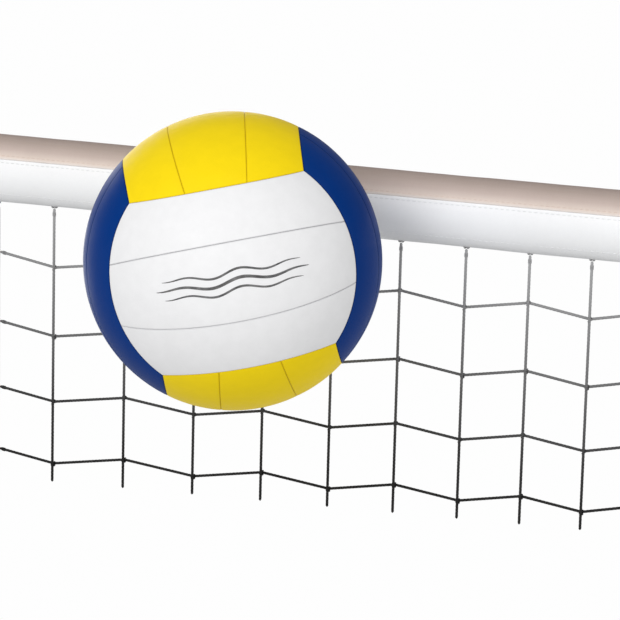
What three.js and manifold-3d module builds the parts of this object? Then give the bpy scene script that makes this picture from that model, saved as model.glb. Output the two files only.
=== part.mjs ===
// A volleyball in front of a short section of net, hung from its padded headline band.
// Millimetres, +Z up. X runs along the net, -Y is the side that the ball is on, and the
// origin is the middle of the headline cable, which carries everything.
import * as THREE from 'three';
import { mergeVertices } from 'three/addons/utils/BufferGeometryUtils.js';
import Module from 'manifold-3d';

const wasm = await Module();
wasm.setup();

// ---------------------------------------------------------------- driving dimensions

const GAP = 0.3; // air between two pieces that touch

// padded band
const BAND_LENGTH = 576;
const BAND_HEIGHT = 53;
const BAND_DEPTH = 30;
const COVER_THICKNESS = 1.3;
const SEAM_HEIGHT = 9.6; // above the cable, where the tan cover meets the white one
const END_CAP_THICKNESS = 3;
const END_CAP_BEVEL = 0.6;

// headline cable and the lacing line inside the band's lower edge
const CABLE_DIAMETER = 4.4;
const HEM_LINE_DIAMETER = 3;
const HEM_LINE_DEPTH = 3.2; // from the core's lowest point up to the line's centre

// mesh
const CORD_DIAMETER = 2.2;
const UPRIGHT_COUNT = 9;
const END_MESH_WIDTH = 43.3; // mean of the two meshes next to the side bands
const MESH_GATHER = 0.95; // how much each mesh is narrower than the last, halved
const MIDDLE_UPRIGHT_X = 19;
const ROW_COUNT = 4;
const FIRST_ROW_DROP = 42; // below the band
const MESH_HEIGHT = 52.5;
const MESH_EASE = 2.3; // each mesh down the net is shorter than the last by this
const KNOT_RISE = 4; // odd uprights are knotted higher and even ones lower
const TAIL_LENGTH = 17.6; // of an upright below the last row's middle line
const NET_TAPER = 0.00017; // the net hangs shorter towards +X, by this share of a mm each mm

// side bands, their dowels and corner grommets
const SIDE_BAND_SETBACK = 31.5; // from the padded band's end to the tape's inner edge
const SIDE_BAND_FLAT = 16;
const SIDE_BAND_THICKNESS = 3.6;
const SIDE_BAND_BELOW_ROWS = 26.9; // from the last row's middle line to the tape's lower end
const DOWEL_DIAMETER = 8;
const DOWEL_STICKS_OUT = 6;
const SLEEVE_WALL = 1.5;
const GROMMET_HOLE = 7;
const GROMMET_WALL = 0.7;
const GROMMET_FLANGE = 1.8; // beyond the barrel
const GROMMET_FLANGE_THICKNESS = 0.8;
const GROMMET_EDGE = 9; // from the band's lower end to the hole's centre

// the mesh swings from this line, just under the band
const SWING_DROP = 1.5;
const SWING_BACK = 25; // degrees, the furthest that the mesh swings
const CORD_ABOVE_SWING = 0.4;

// cable ends: ferrule, thimble, swivel and snap hook
const CABLE_BARE = 13; // from the end cap to the ferrule
const FERRULE_LENGTH = 16;
const FERRULE_WALL = 1.8;
const THIMBLE_HOLE = 13;
const THIMBLE_WALL = 1.7;
const THIMBLE_WIDTH = 6;
const THIMBLE_POINT = 14; // from the round centre to the point
const EYE_RADIUS = 9; // to the middle of the wire
const EYE_WIRE = 3.6;
const SHANK_DIAMETER = 5.2;
const SHANK_HEAD_DIAMETER = 9.2;
const SHANK_HEAD_THICKNESS = 2.4;
const COLLAR_LENGTH = 7;
const COLLAR_CLEARANCE = 0.4;
const HOOK_LENGTH = 44;
const HOOK_HEIGHT = 24;
const HOOK_SECTION = 4.8;
const HOOK_WIDTH = 7;
const HOOK_BEVEL = 0.8;
const GATE_PIN_DIAMETER = 2.4;
const GATE_TONGUE = 2.8;
const GATE_WIDTH = 5;
const GATE_HEIGHT = 4.2;
const GATE_ROOM = 1; // between the ears and the gate's wide bar, so that the gate can turn

// ball
const BALL_DIAMETER = 211;
const PANEL_THICKNESS = 1.4;
const PANEL_SEAM = 0.8;
const CARCASS_THICKNESS = 0.8;
const BLADDER_THICKNESS = 0.6;
const LAYER_GAP = 1.2; // between the ball's faceted layers
const VALVE_DIAMETER = 7;
const VALVE_NEEDLE_HOLE = 1.6;
const VALVE_FLANGE_DIAMETER = 16;
const VALVE_FLANGE_THICKNESS = 1.6;
const BALL_X = -7.1;
const BALL_Z = -22.7;
const BALL_AIR = 19.5; // between the ball and the band
const BALL_PITCH = -3.84; // degrees about X
const BALL_ROLL = -11.8; // degrees about Y
const BALL_YAW = 21.63; // degrees about Z

// panel pattern, in degrees on the ball
const EDGE_BULGE = 8.5; // a group of strips pushes this far into its neighbour
const MIDDLE_STRIP_HALF = 15.1; // half the middle strip's width at its waist
const PANEL_STEPS_ALONG = 10;
const PANEL_STEPS_ACROSS = 3;
const BALL_SLICES = 20; // of the carcass and the bladder
const BALL_RINGS = 12;

// ---------------------------------------------------------------- worked-out sizes

const DEGREE = Math.PI / 180;
const HALF_LENGTH = BAND_LENGTH / 2;
const BAND_BOTTOM = -BAND_HEIGHT / 2;
const SIDE_BAND_INNER_X = HALF_LENGTH - SIDE_BAND_SETBACK;
const SWING_Z = BAND_BOTTOM - SWING_DROP;
const CABLE_RADIUS = CABLE_DIAMETER / 2;
const CORD_RADIUS = CORD_DIAMETER / 2;
const CORD_OFFSET = CORD_RADIUS + GAP / 2; // uprights in front of the middle plane, rows behind
const HALF_COUNT = (UPRIGHT_COUNT - 1) / 2;
const MESH_WIDTH = (SIDE_BAND_INNER_X - END_MESH_WIDTH) / HALF_COUNT; // at the middle upright
const SLEEVE_BORE = DOWEL_DIAMETER / 2 + GAP;
const SLEEVE_RADIUS = SLEEVE_BORE + SLEEVE_WALL;
const SIDE_BAND_TOP = SWING_Z - SLEEVE_RADIUS * Math.tan(SWING_BACK * DEGREE) - GAP;
const DOWEL_X = SIDE_BAND_INNER_X + SIDE_BAND_FLAT + SLEEVE_RADIUS;

// ---------------------------------------------------------------- materials

const paint = (color, roughness, metalness = 0) =>
  new THREE.MeshStandardMaterial({ color, roughness, metalness });

const FINISH = {
  tanCanvas: paint(0xd0b4a6, 0.8),
  whiteVinyl: paint(0xeceeee, 0.55),
  foam: paint(0xb9b9ba, 0.95),
  cable: paint(0xa9adb2, 0.4, 0.9),
  netCord: paint(0x4a4a4c, 0.85),
  webbing: paint(0xe6e6e2, 0.8),
  dowel: paint(0xd9d8cf, 0.35),
  brass: paint(0xb8914a, 0.35, 1),
  steel: paint(0xb9bdc2, 0.3, 1),
  yellowPanel: paint(0xeed22a, 0.45),
  whitePanel: paint(0xf0f0f0, 0.45),
  bluePanel: paint(0x0a3675, 0.45),
  carcass: paint(0xcfc6b4, 0.9),
  bladder: paint(0x2b2b2d, 0.7),
  valve: paint(0x1d1d1f, 0.6),
};

const part = new THREE.Group();

function addPiece(parent, name, geometry, material) {
  const mesh = new THREE.Mesh(geometry, material);
  mesh.name = name;
  parent.add(mesh);
  return mesh;
}

// ---------------------------------------------------------------- geometry helpers

// A geometry with only its positions, shared vertices merged.
function bare(geometry) {
  const plain = geometry.clone();
  plain.deleteAttribute('normal');
  plain.deleteAttribute('uv');
  return mergeVertices(plain, 1e-4);
}

function toSolid(geometry) {
  const plain = bare(geometry);
  return new wasm.Manifold(new wasm.Mesh({
    numProp: 3,
    vertProperties: new Float32Array(plain.attributes.position.array),
    triVerts: new Uint32Array(plain.index.array),
  }));
}

function fromSolid(solid) {
  const mesh = solid.getMesh();
  const geometry = new THREE.BufferGeometry();
  geometry.setAttribute('position', new THREE.BufferAttribute(mesh.vertProperties, 3));
  geometry.setIndex(new THREE.BufferAttribute(mesh.triVerts, 1));
  return geometry;
}

const fuse = (first, ...others) =>
  fromSolid(others.reduce((solid, other) => solid.add(toSolid(other)), toSolid(first)));

const cut = (first, ...others) =>
  fromSolid(others.reduce((solid, other) => solid.subtract(toSolid(other)), toSolid(first)));

// A shape drawn in (Y, Z) and drawn out along X from x = start.
function extrudeAlongX(shape, start, length, options = {}) {
  const geometry = new THREE.ExtrudeGeometry(shape, { depth: length, bevelEnabled: false, ...options });
  geometry.applyMatrix4(new THREE.Matrix4().set(0, 0, 1, start, 1, 0, 0, 0, 0, 1, 0, 0, 0, 0, 0, 1));
  return geometry;
}

// A shape drawn in (X, Z) and drawn out along Y, centred on y = 0.
function extrudeAcrossY(shape, width, options = {}) {
  const bevel = options.bevelEnabled ? options.bevelThickness : 0;
  const depth = width - 2 * bevel;
  const geometry = new THREE.ExtrudeGeometry(shape, { depth, bevelEnabled: false, ...options });
  geometry.translate(0, 0, -depth / 2);
  geometry.rotateX(Math.PI / 2);
  return geometry;
}

function cylinderAlongX(radius, start, length, sides) {
  const geometry = new THREE.CylinderGeometry(radius, radius, length, sides);
  geometry.rotateZ(-Math.PI / 2);
  geometry.translate(start + length / 2, 0, 0);
  return geometry;
}

function cylinderAlongY(radius, length, x, z, sides) {
  const geometry = new THREE.CylinderGeometry(radius, radius, length, sides);
  geometry.translate(x, 0, z);
  return geometry;
}

function box(x0, x1, halfY, z0, z1) {
  const geometry = new THREE.BoxGeometry(x1 - x0, 2 * halfY, z1 - z0);
  geometry.translate((x0 + x1) / 2, 0, (z0 + z1) / 2);
  return geometry;
}

function circleShape(radius, sides) {
  const shape = new THREE.Shape();
  for (let i = 0; i < sides; i++) {
    const angle = (2 * Math.PI * i) / sides;
    shape[i ? 'lineTo' : 'moveTo'](radius * Math.cos(angle), radius * Math.sin(angle));
  }
  shape.closePath();
  return shape;
}

// A curve through hand-set points whose steps follow the points and not the arc length, so
// the steps are fine where the points are close.
class PointStepCurve extends THREE.CatmullRomCurve3 {
  getPointAt(u, target) {
    return this.getPoint(u, target);
  }

  getTangentAt(u, target) {
    return this.getTangent(u, target);
  }
}

// Straight runs from knot to knot.
class KnottedLine extends THREE.Curve {
  constructor(points) {
    super();
    this.points = points;
  }

  getPoint(t, target = new THREE.Vector3()) {
    const place = t * (this.points.length - 1);
    const span = Math.min(Math.floor(place), this.points.length - 2);
    return target.lerpVectors(this.points[span], this.points[span + 1], place - span);
  }

  getPointAt(u, target) {
    return this.getPoint(u, target);
  }

  getTangentAt(u, target) {
    return this.getTangent(u, target);
  }
}

const tube = (curve, radius, steps, sides = 8) =>
  new THREE.ExtrudeGeometry(circleShape(radius, sides), { extrudePath: curve, steps, bevelEnabled: false });

// ---------------------------------------------------------------- padded band

// The stretch of an ellipse from one polar angle to the next, as points in (Y, Z).
function ellipseArc(halfDepth, halfHeight, from, to, steps) {
  const points = [];
  for (let i = 0; i <= steps; i++) {
    const angle = from + ((to - from) * i) / steps;
    points.push(new THREE.Vector2(halfDepth * Math.cos(angle), halfHeight * Math.sin(angle)));
  }
  return points;
}

// One cover wraps the core from the front seam to the back one, over the top or underneath.
function coverShape(isUpper) {
  const halfDepth = BAND_DEPTH / 2;
  const halfHeight = BAND_HEIGHT / 2;
  const edge = SEAM_HEIGHT + (isUpper ? GAP / 2 : -GAP / 2);
  const outerFrom = Math.asin(edge / halfHeight);
  const innerFrom = Math.asin(edge / (halfHeight - COVER_THICKNESS));
  const ends = (from) => (isUpper ? [from, Math.PI - from] : [Math.PI - from, 2 * Math.PI + from]);
  const steps = isUpper ? 20 : 28;
  const outer = ellipseArc(halfDepth, halfHeight, ...ends(outerFrom), steps);
  const inner = ellipseArc(
    halfDepth - COVER_THICKNESS, halfHeight - COVER_THICKNESS, ...ends(innerFrom), steps);
  return new THREE.Shape([...outer, ...inner.reverse()]);
}

function ellipseShape(halfDepth, halfHeight, steps) {
  return new THREE.Shape(ellipseArc(halfDepth, halfHeight, 0, 2 * Math.PI, steps).slice(0, -1));
}

function addRoundHole(shape, radius, z) {
  const points = circleShape(radius, 12).getPoints().slice(0, -1);
  shape.holes.push(new THREE.Path(points.map((point) => new THREE.Vector2(point.x, point.y + z))));
}

const CORE_HALF_HEIGHT = BAND_HEIGHT / 2 - COVER_THICKNESS - GAP;
const HEM_LINE_Z = -CORE_HALF_HEIGHT + HEM_LINE_DEPTH;

function foamCore() {
  const shape = ellipseShape(BAND_DEPTH / 2 - COVER_THICKNESS - GAP, CORE_HALF_HEIGHT, 32);
  addRoundHole(shape, CABLE_RADIUS + GAP, 0);
  addRoundHole(shape, HEM_LINE_DIAMETER / 2 + GAP, HEM_LINE_Z);
  return extrudeAlongX(shape, -HALF_LENGTH, BAND_LENGTH);
}

function endCap() {
  const shape = ellipseShape(BAND_DEPTH / 2 - END_CAP_BEVEL, BAND_HEIGHT / 2 - END_CAP_BEVEL, 32);
  const flatDepth = END_CAP_THICKNESS - 2 * END_CAP_BEVEL;
  const disc = extrudeAlongX(shape, HALF_LENGTH + GAP + END_CAP_BEVEL, flatDepth, {
    bevelEnabled: true,
    bevelThickness: END_CAP_BEVEL,
    bevelSize: END_CAP_BEVEL,
    bevelSegments: 1,
  });
  return cut(disc, cylinderAlongX(CABLE_RADIUS + GAP, HALF_LENGTH - 1, END_CAP_THICKNESS + 4, 12));
}

// ---------------------------------------------------------------- headline cable and fittings

const CAP_END_X = HALF_LENGTH + GAP + END_CAP_THICKNESS;
const FERRULE_X = CAP_END_X + CABLE_BARE;
const STRAND_Z = CABLE_RADIUS + GAP; // the two strands lie above and below the axis in the ferrule
const THIMBLE_OUTER = THIMBLE_HOLE / 2 + THIMBLE_WALL;
const LOOP_RADIUS = THIMBLE_OUTER + GAP + CABLE_RADIUS;
const THIMBLE_X = FERRULE_X + FERRULE_LENGTH + THIMBLE_POINT + CABLE_DIAMETER;

// The angle between a thimble's axis and its straight side, from its point and round radius.
const sideAngle = (radius, point) => Math.asin(radius / point);

// The cable from inside the band, through the ferrule, round the thimble and back.
function cableEndPoints() {
  const slope = sideAngle(THIMBLE_OUTER, THIMBLE_POINT);
  const ferruleEnd = FERRULE_X + FERRULE_LENGTH;
  const reach = Math.PI / 2 + slope; // the round stretch runs this far each way from the tip
  const upper = [
    [HALF_LENGTH / 3, 0],
    [HALF_LENGTH - 20, 0],
    [HALF_LENGTH, 0],
    [CAP_END_X + 2, 0],
    [CAP_END_X + 5, 0.25 * STRAND_Z],
    [FERRULE_X - 3, 0.9 * STRAND_Z],
    [FERRULE_X, STRAND_Z],
    [ferruleEnd, STRAND_Z],
  ];
  const turns = 16;
  const round = [];
  for (let i = 0; i <= turns; i++) {
    const angle = reach - (2 * reach * i) / turns;
    round.push([THIMBLE_X + LOOP_RADIUS * Math.cos(angle), LOOP_RADIUS * Math.sin(angle)]);
  }
  const [touchX, touchZ] = round[0];
  const side = [ferruleEnd + 0.45 * (touchX - ferruleEnd), STRAND_Z + 0.4 * (touchZ - STRAND_Z)];
  const back = [
    [side[0], -side[1]],
    [ferruleEnd, -STRAND_Z],
    [FERRULE_X + 1, -STRAND_Z],
  ];
  return [...upper, side, ...round, ...back].map(([x, z]) => new THREE.Vector3(x, 0, z));
}

function headlineCable() {
  const right = cableEndPoints();
  const left = right.map((point) => new THREE.Vector3(-point.x, 0, point.z)).reverse();
  const curve = new PointStepCurve([...left, ...right], false, 'centripetal');
  return tube(curve, CABLE_RADIUS, left.length + right.length - 1);
}

function ferrule() {
  const stadium = (radius) => {
    const shape = new THREE.Shape();
    shape.absarc(0, STRAND_Z, radius, 0, Math.PI);
    shape.absarc(0, -STRAND_Z, radius, Math.PI, 2 * Math.PI);
    shape.closePath();
    return shape;
  };
  const bore = CABLE_RADIUS + GAP;
  const shape = stadium(bore + FERRULE_WALL);
  shape.holes.push(stadium(bore));
  return extrudeAlongX(shape, FERRULE_X, FERRULE_LENGTH, { curveSegments: 8 });
}

// A drop outline: round at +X, with straight sides to a point towards the ferrule.
function dropPath(radius, point) {
  const reach = Math.PI / 2 + sideAngle(radius, point);
  const path = new THREE.Shape();
  path.absarc(THIMBLE_X, 0, radius, -reach, reach, false);
  path.lineTo(THIMBLE_X - point, 0);
  path.closePath();
  return path;
}

function thimble() {
  const hole = THIMBLE_HOLE / 2;
  const shape = dropPath(THIMBLE_OUTER, THIMBLE_POINT);
  shape.holes.push(dropPath(hole, (THIMBLE_POINT * hole) / THIMBLE_OUTER));
  return extrudeAcrossY(shape, THIMBLE_WIDTH, { curveSegments: 14 });
}

// The eye lies flat and passes through the thimble, whose flat sides set how close it sits.
const EYE_HOLE = EYE_RADIUS - EYE_WIRE / 2;
const EYE_X = THIMBLE_X + THIMBLE_HOLE / 2 + Math.sqrt(EYE_HOLE ** 2 - (THIMBLE_WIDTH / 2 + GAP) ** 2);
const COLLAR_X = EYE_X + EYE_RADIUS + EYE_WIRE / 2 + 1.5;
const HEAD_X = COLLAR_X + COLLAR_LENGTH + GAP;

function swivelEye() {
  const ring = new THREE.TorusGeometry(EYE_RADIUS, EYE_WIRE / 2, 8, 20);
  ring.translate(EYE_X, 0, 0);
  const shankStart = EYE_X + EYE_RADIUS;
  const shank = cylinderAlongX(SHANK_DIAMETER / 2, shankStart, HEAD_X - shankStart + 1, 12);
  const head = cylinderAlongX(SHANK_HEAD_DIAMETER / 2, HEAD_X, SHANK_HEAD_THICKNESS, 12);
  return fuse(ring, shank, head);
}

// ---------------------------------------------------------------- snap hook

const HOOK_END_X = COLLAR_X + HOOK_LENGTH;
const NOSE_RADIUS = HOOK_HEIGHT / 2;
const NOSE_X = HOOK_END_X - NOSE_RADIUS;
const THROAT_RADIUS = NOSE_RADIUS - HOOK_SECTION;
const THROAT_START = HEAD_X - GAP / 2;
const EAR_END = COLLAR_X + COLLAR_LENGTH + 6;
const PIN_X = COLLAR_X + COLLAR_LENGTH + 1.5;
const PIN_Z = NOSE_RADIUS - HOOK_SECTION / 2;
const GATE_END = NOSE_X - 1;

// The hook's outline in (X, Z): a collar with a long loop, whose top is the gate's window.
function hookBody() {
  const outline = new THREE.Shape();
  outline.moveTo(COLLAR_X, -NOSE_RADIUS + HOOK_SECTION);
  outline.lineTo(COLLAR_X + HOOK_SECTION, -NOSE_RADIUS);
  outline.lineTo(NOSE_X, -NOSE_RADIUS);
  outline.absarc(NOSE_X, 0, NOSE_RADIUS, -Math.PI / 2, Math.PI / 2, false);
  outline.lineTo(COLLAR_X + HOOK_SECTION, NOSE_RADIUS);
  outline.lineTo(COLLAR_X, NOSE_RADIUS - HOOK_SECTION);
  outline.closePath();
  const throat = new THREE.Path();
  throat.moveTo(THROAT_START, -THROAT_RADIUS);
  throat.lineTo(NOSE_X, -THROAT_RADIUS);
  throat.absarc(NOSE_X, 0, THROAT_RADIUS, -Math.PI / 2, Math.PI / 2, false);
  throat.lineTo(THROAT_START, THROAT_RADIUS);
  throat.closePath();
  outline.holes.push(throat);
  const loop = extrudeAcrossY(outline, HOOK_WIDTH, {
    curveSegments: 10,
    bevelEnabled: true,
    bevelThickness: HOOK_BEVEL,
    bevelSize: HOOK_BEVEL,
    bevelOffset: -HOOK_BEVEL,
    bevelSegments: 1,
  });
  const swivelRadius = SHANK_DIAMETER / 2 + COLLAR_CLEARANCE;
  const swivelHole = cylinderAlongX(swivelRadius, COLLAR_X - 1, COLLAR_LENGTH + 2, 16);
  const low = THROAT_RADIUS - 2;
  const high = NOSE_RADIUS + 1;
  const window = box(EAR_END, GATE_END + GAP, HOOK_WIDTH, low, high);
  const slot = box(COLLAR_X + COLLAR_LENGTH - 3, EAR_END + 1, GATE_TONGUE / 2 + GAP, low, high);
  const pinHole = cylinderAlongY(GATE_PIN_DIAMETER / 2 + GAP, HOOK_WIDTH + 2, PIN_X, PIN_Z, 12);
  return cut(loop, swivelHole, window, slot, pinHole);
}

// A thin tongue on the pin between the ears, then a wider bar that closes the window.
function gate() {
  const halfHeight = GATE_HEIGHT / 2;
  const tongue = new THREE.Shape();
  tongue.absarc(PIN_X, PIN_Z, halfHeight, Math.PI / 2, 1.5 * Math.PI, false);
  tongue.lineTo(EAR_END + 2 * GATE_ROOM, PIN_Z - halfHeight);
  tongue.lineTo(EAR_END + 2 * GATE_ROOM, PIN_Z + halfHeight);
  tongue.closePath();
  const bar = box(EAR_END + GATE_ROOM, GATE_END, GATE_WIDTH / 2, PIN_Z - halfHeight, PIN_Z + halfHeight);
  const joined = fuse(extrudeAcrossY(tongue, GATE_TONGUE, { curveSegments: 8 }), bar);
  return cut(joined, cylinderAlongY(GATE_PIN_DIAMETER / 2 + GAP, GATE_WIDTH + 2, PIN_X, PIN_Z, 12));
}

const gatePin = () => cylinderAlongY(GATE_PIN_DIAMETER / 2, HOOK_WIDTH, PIN_X, PIN_Z, 12);

// ---------------------------------------------------------------- mesh

// The uprights stand closer together towards +X.
const uprightX = (index) => MIDDLE_UPRIGHT_X + MESH_WIDTH * index - MESH_GATHER * index ** 2;

// A drop below the band at the middle upright, as a height where the net hangs at x.
const hangingZ = (drop, x) => BAND_BOTTOM - drop * (1 - NET_TAPER * (x - MIDDLE_UPRIGHT_X));

const rowDrop = (row) => FIRST_ROW_DROP + MESH_HEIGHT * row - (MESH_EASE * row * (row - 1)) / 2;

const SIDE_BAND_BOTTOM = BAND_BOTTOM - rowDrop(ROW_COUNT - 1) - SIDE_BAND_BELOW_ROWS;

const isOdd = (index) => Math.abs(index) % 2 === 1;

function knotPoint(index, row) {
  const last = HALF_COUNT + 1;
  const x = Math.abs(index) === last ? Math.sign(index) * (SIDE_BAND_INNER_X - GAP) : uprightX(index);
  const rise = isOdd(index) ? KNOT_RISE : -KNOT_RISE;
  return new THREE.Vector3(x, CORD_OFFSET, hangingZ(rowDrop(row) - rise, x));
}

function rowCord(row) {
  const knots = [];
  for (let index = -HALF_COUNT - 1; index <= HALF_COUNT + 1; index++) knots.push(knotPoint(index, row));
  return tube(new KnottedLine(knots), CORD_RADIUS, 3 * (knots.length - 1));
}

function uprightCord(index) {
  const x = uprightX(index);
  const top = new THREE.Vector3(x, -CORD_OFFSET, SWING_Z + CORD_ABOVE_SWING);
  const bottom = new THREE.Vector3(x, -CORD_OFFSET, hangingZ(rowDrop(ROW_COUNT - 1) + TAIL_LENGTH, x));
  return tube(new THREE.LineCurve3(top, bottom), CORD_RADIUS, 12);
}

// A tape folded round the dowel, with its flat part towards the mesh, at the +X end.
function sideBand() {
  const half = SIDE_BAND_THICKNESS / 2;
  const lean = 50 * DEGREE; // where the tape leaves the sleeve's round
  const shape = new THREE.Shape();
  shape.moveTo(SIDE_BAND_INNER_X, -half);
  shape.lineTo(SIDE_BAND_INNER_X + SIDE_BAND_FLAT - half, -half);
  shape.absarc(DOWEL_X, 0, SLEEVE_RADIUS, -Math.PI + lean, Math.PI - lean, false);
  shape.lineTo(SIDE_BAND_INNER_X + SIDE_BAND_FLAT - half, half);
  shape.lineTo(SIDE_BAND_INNER_X, half);
  shape.closePath();
  const bore = new THREE.Path();
  bore.absarc(DOWEL_X, 0, SLEEVE_BORE, 0, 2 * Math.PI, true);
  shape.holes.push(bore);
  const geometry = new THREE.ExtrudeGeometry(shape, {
    depth: SIDE_BAND_TOP - SIDE_BAND_BOTTOM,
    bevelEnabled: false,
    curveSegments: 8,
  });
  geometry.translate(0, 0, SIDE_BAND_BOTTOM);
  const eyelet = cylinderAlongY(
    GROMMET_HOLE / 2 + GROMMET_WALL + GAP, SIDE_BAND_THICKNESS + 2, GROMMET_X, GROMMET_Z, 16);
  return cut(geometry, eyelet);
}

const GROMMET_X = SIDE_BAND_INNER_X + SIDE_BAND_FLAT / 2 - 1;
const GROMMET_Z = SIDE_BAND_BOTTOM + GROMMET_EDGE;

// A barrel through the tape with a flange on each face of it.
function grommet() {
  const hole = GROMMET_HOLE / 2;
  const barrel = hole + GROMMET_WALL;
  const face = SIDE_BAND_THICKNESS / 2 + GAP;
  const outer = face + GROMMET_FLANGE_THICKNESS;
  const profile = [
    [hole, -outer],
    [barrel + GROMMET_FLANGE, -outer],
    [barrel + GROMMET_FLANGE, -face],
    [barrel, -face],
    [barrel, face],
    [barrel + GROMMET_FLANGE, face],
    [barrel + GROMMET_FLANGE, outer],
    [hole, outer],
    [hole, -outer],
  ].map(([radius, along]) => new THREE.Vector2(radius, along));
  const geometry = new THREE.LatheGeometry(profile, 16);
  geometry.translate(GROMMET_X, 0, GROMMET_Z);
  return geometry;
}

function dowel() {
  const top = SIDE_BAND_TOP - 1;
  const bottom = SIDE_BAND_BOTTOM - DOWEL_STICKS_OUT;
  const radius = DOWEL_DIAMETER / 2;
  const chamfer = 1;
  const profile = [
    [0, bottom],
    [radius - chamfer, bottom],
    [radius, bottom + chamfer],
    [radius, top - chamfer],
    [radius - chamfer, top],
    [0, top],
  ].map(([r, z]) => new THREE.Vector2(r, z));
  const geometry = new THREE.LatheGeometry(profile, 16);
  geometry.rotateX(Math.PI / 2);
  geometry.translate(DOWEL_X, 0, 0);
  return geometry;
}

// ---------------------------------------------------------------- ball

const BALL_RADIUS = BALL_DIAMETER / 2;
const PANEL_INNER = BALL_RADIUS - PANEL_THICKNESS;
const CARCASS_RADIUS = PANEL_INNER - LAYER_GAP;
const BLADDER_RADIUS = CARCASS_RADIUS - CARCASS_THICKNESS - LAYER_GAP;
const BLADDER_INNER = BLADDER_RADIUS - BLADDER_THICKNESS;
const CORNER = Math.atan(Math.SQRT1_2); // how high a corner stands over its face's middle line

// Six groups of three strips. Strips run along `along`, and lie side by side along `across`.
const PANEL_GROUPS = [
  { name: 'front', normal: [0, -1, 0], along: [1, 0, 0], across: [0, 0, 1], finish: FINISH.whitePanel },
  { name: 'back', normal: [0, 1, 0], along: [-1, 0, 0], across: [0, 0, 1], finish: FINISH.whitePanel },
  { name: 'top', normal: [0, 0, 1], along: [0, 1, 0], across: [-1, 0, 0], finish: FINISH.yellowPanel },
  { name: 'bottom', normal: [0, 0, -1], along: [0, 1, 0], across: [1, 0, 0], finish: FINISH.yellowPanel },
  { name: 'right', normal: [1, 0, 0], along: [0, 0, 1], across: [0, -1, 0], finish: FINISH.bluePanel },
  { name: 'left', normal: [-1, 0, 0], along: [0, 0, 1], across: [0, 1, 0], finish: FINISH.bluePanel },
];
const STRIPS = ['a', 'b', 'c'];

// A group's end edge leans out furthest at its middle: longitude for a latitude.
function endLongitude(latitude) {
  const share = Math.SQRT2 * Math.tan(latitude);
  return (45 + EDGE_BULGE * (1 - share ** 2)) * DEGREE;
}

// The group's long side at p, where its neighbour's strips end: [longitude, latitude].
function longSide(p) {
  const lean = (45 + EDGE_BULGE * (1 - p ** 2)) * DEGREE;
  const sideways = p * Math.SQRT1_2;
  const level = Math.hypot(Math.sin(lean), sideways);
  return [Math.atan2(sideways, Math.sin(lean)), Math.atan2(Math.cos(lean), level)];
}

// The seam between two strips at p, wider apart at the waist than at the ends.
function stripSeam(p) {
  const end = CORNER / 3;
  const latitude = end + (MIDDLE_STRIP_HALF * DEGREE - end) * (1 - p ** 2);
  return [endLongitude(end) * p, latitude];
}

// The four lines that bound the strips, from the lowest to the highest.
const STRIP_LINES = [
  (p) => [longSide(p)[0], -longSide(p)[1]],
  (p) => [stripSeam(p)[0], -stripSeam(p)[1]],
  stripSeam,
  longSide,
];

// The direction of a point of strip `strip`, p along it and q across it, both from -1 to 1.
function stripDirection(group, strip, p, q) {
  const inset = PANEL_SEAM / 2 / BALL_RADIUS;
  const blend = (at) => {
    const [lowLongitude, lowLatitude] = STRIP_LINES[strip](at);
    const [highLongitude, highLatitude] = STRIP_LINES[strip + 1](at);
    const share = (q + 1) / 2;
    const latitude = lowLatitude + inset + (highLatitude - lowLatitude - 2 * inset) * share;
    return [lowLongitude + (highLongitude - lowLongitude) * share, latitude];
  };
  const [endLine, endLatitude] = blend(1);
  const [line, latitude] = blend(p);
  const longitude = (line * (endLongitude(endLatitude) - inset)) / endLine;
  const direction = new THREE.Vector3();
  direction.addScaledVector(new THREE.Vector3(...group.normal), Math.cos(latitude) * Math.cos(longitude));
  direction.addScaledVector(new THREE.Vector3(...group.along), Math.cos(latitude) * Math.sin(longitude));
  direction.addScaledVector(new THREE.Vector3(...group.across), Math.sin(latitude));
  return direction;
}

// A curved plate: an outer and an inner grid of points, joined by a rim.
function panel(group, strip) {
  const rows = PANEL_STEPS_ACROSS;
  const columns = PANEL_STEPS_ALONG;
  const positions = [];
  for (const radius of [BALL_RADIUS, PANEL_INNER]) {
    for (let row = 0; row <= rows; row++) {
      for (let column = 0; column <= columns; column++) {
        const point = stripDirection(group, strip, (2 * column) / columns - 1, (2 * row) / rows - 1);
        positions.push(...point.multiplyScalar(radius).toArray());
      }
    }
  }
  const layer = (rows + 1) * (columns + 1);
  const at = (row, column) => row * (columns + 1) + column;
  const index = [];
  const quad = (a, b, c, d) => index.push(a, b, c, a, c, d);
  for (let row = 0; row < rows; row++) {
    for (let column = 0; column < columns; column++) {
      const corners = [at(row, column), at(row, column + 1), at(row + 1, column + 1), at(row + 1, column)];
      quad(...corners);
      quad(...corners.map((corner) => corner + layer).reverse());
    }
  }
  const rim = [];
  for (let column = 0; column < columns; column++) rim.push(at(0, column));
  for (let row = 0; row < rows; row++) rim.push(at(row, columns));
  for (let column = columns; column > 0; column--) rim.push(at(rows, column));
  for (let row = rows; row > 0; row--) rim.push(at(row, 0));
  rim.forEach((corner, i) => {
    const next = rim[(i + 1) % rim.length];
    quad(corner, corner + layer, next + layer, next);
  });
  const geometry = new THREE.BufferGeometry();
  geometry.setAttribute('position', new THREE.Float32BufferAttribute(positions, 3));
  geometry.setIndex(index);
  return geometry;
}

// The valve's axis is the ball's +Y.
const valveHole = (radius) => {
  const drill = cylinderAlongY(radius, BALL_RADIUS, 0, 0, 16);
  drill.translate(0, BALL_RADIUS, 0);
  return drill;
};

function hollowBall(radius, thickness) {
  const sphere = (size) => new THREE.SphereGeometry(size, BALL_SLICES, BALL_RINGS);
  return cut(sphere(radius), sphere(radius - thickness), valveHole(VALVE_DIAMETER / 2 + GAP));
}

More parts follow.
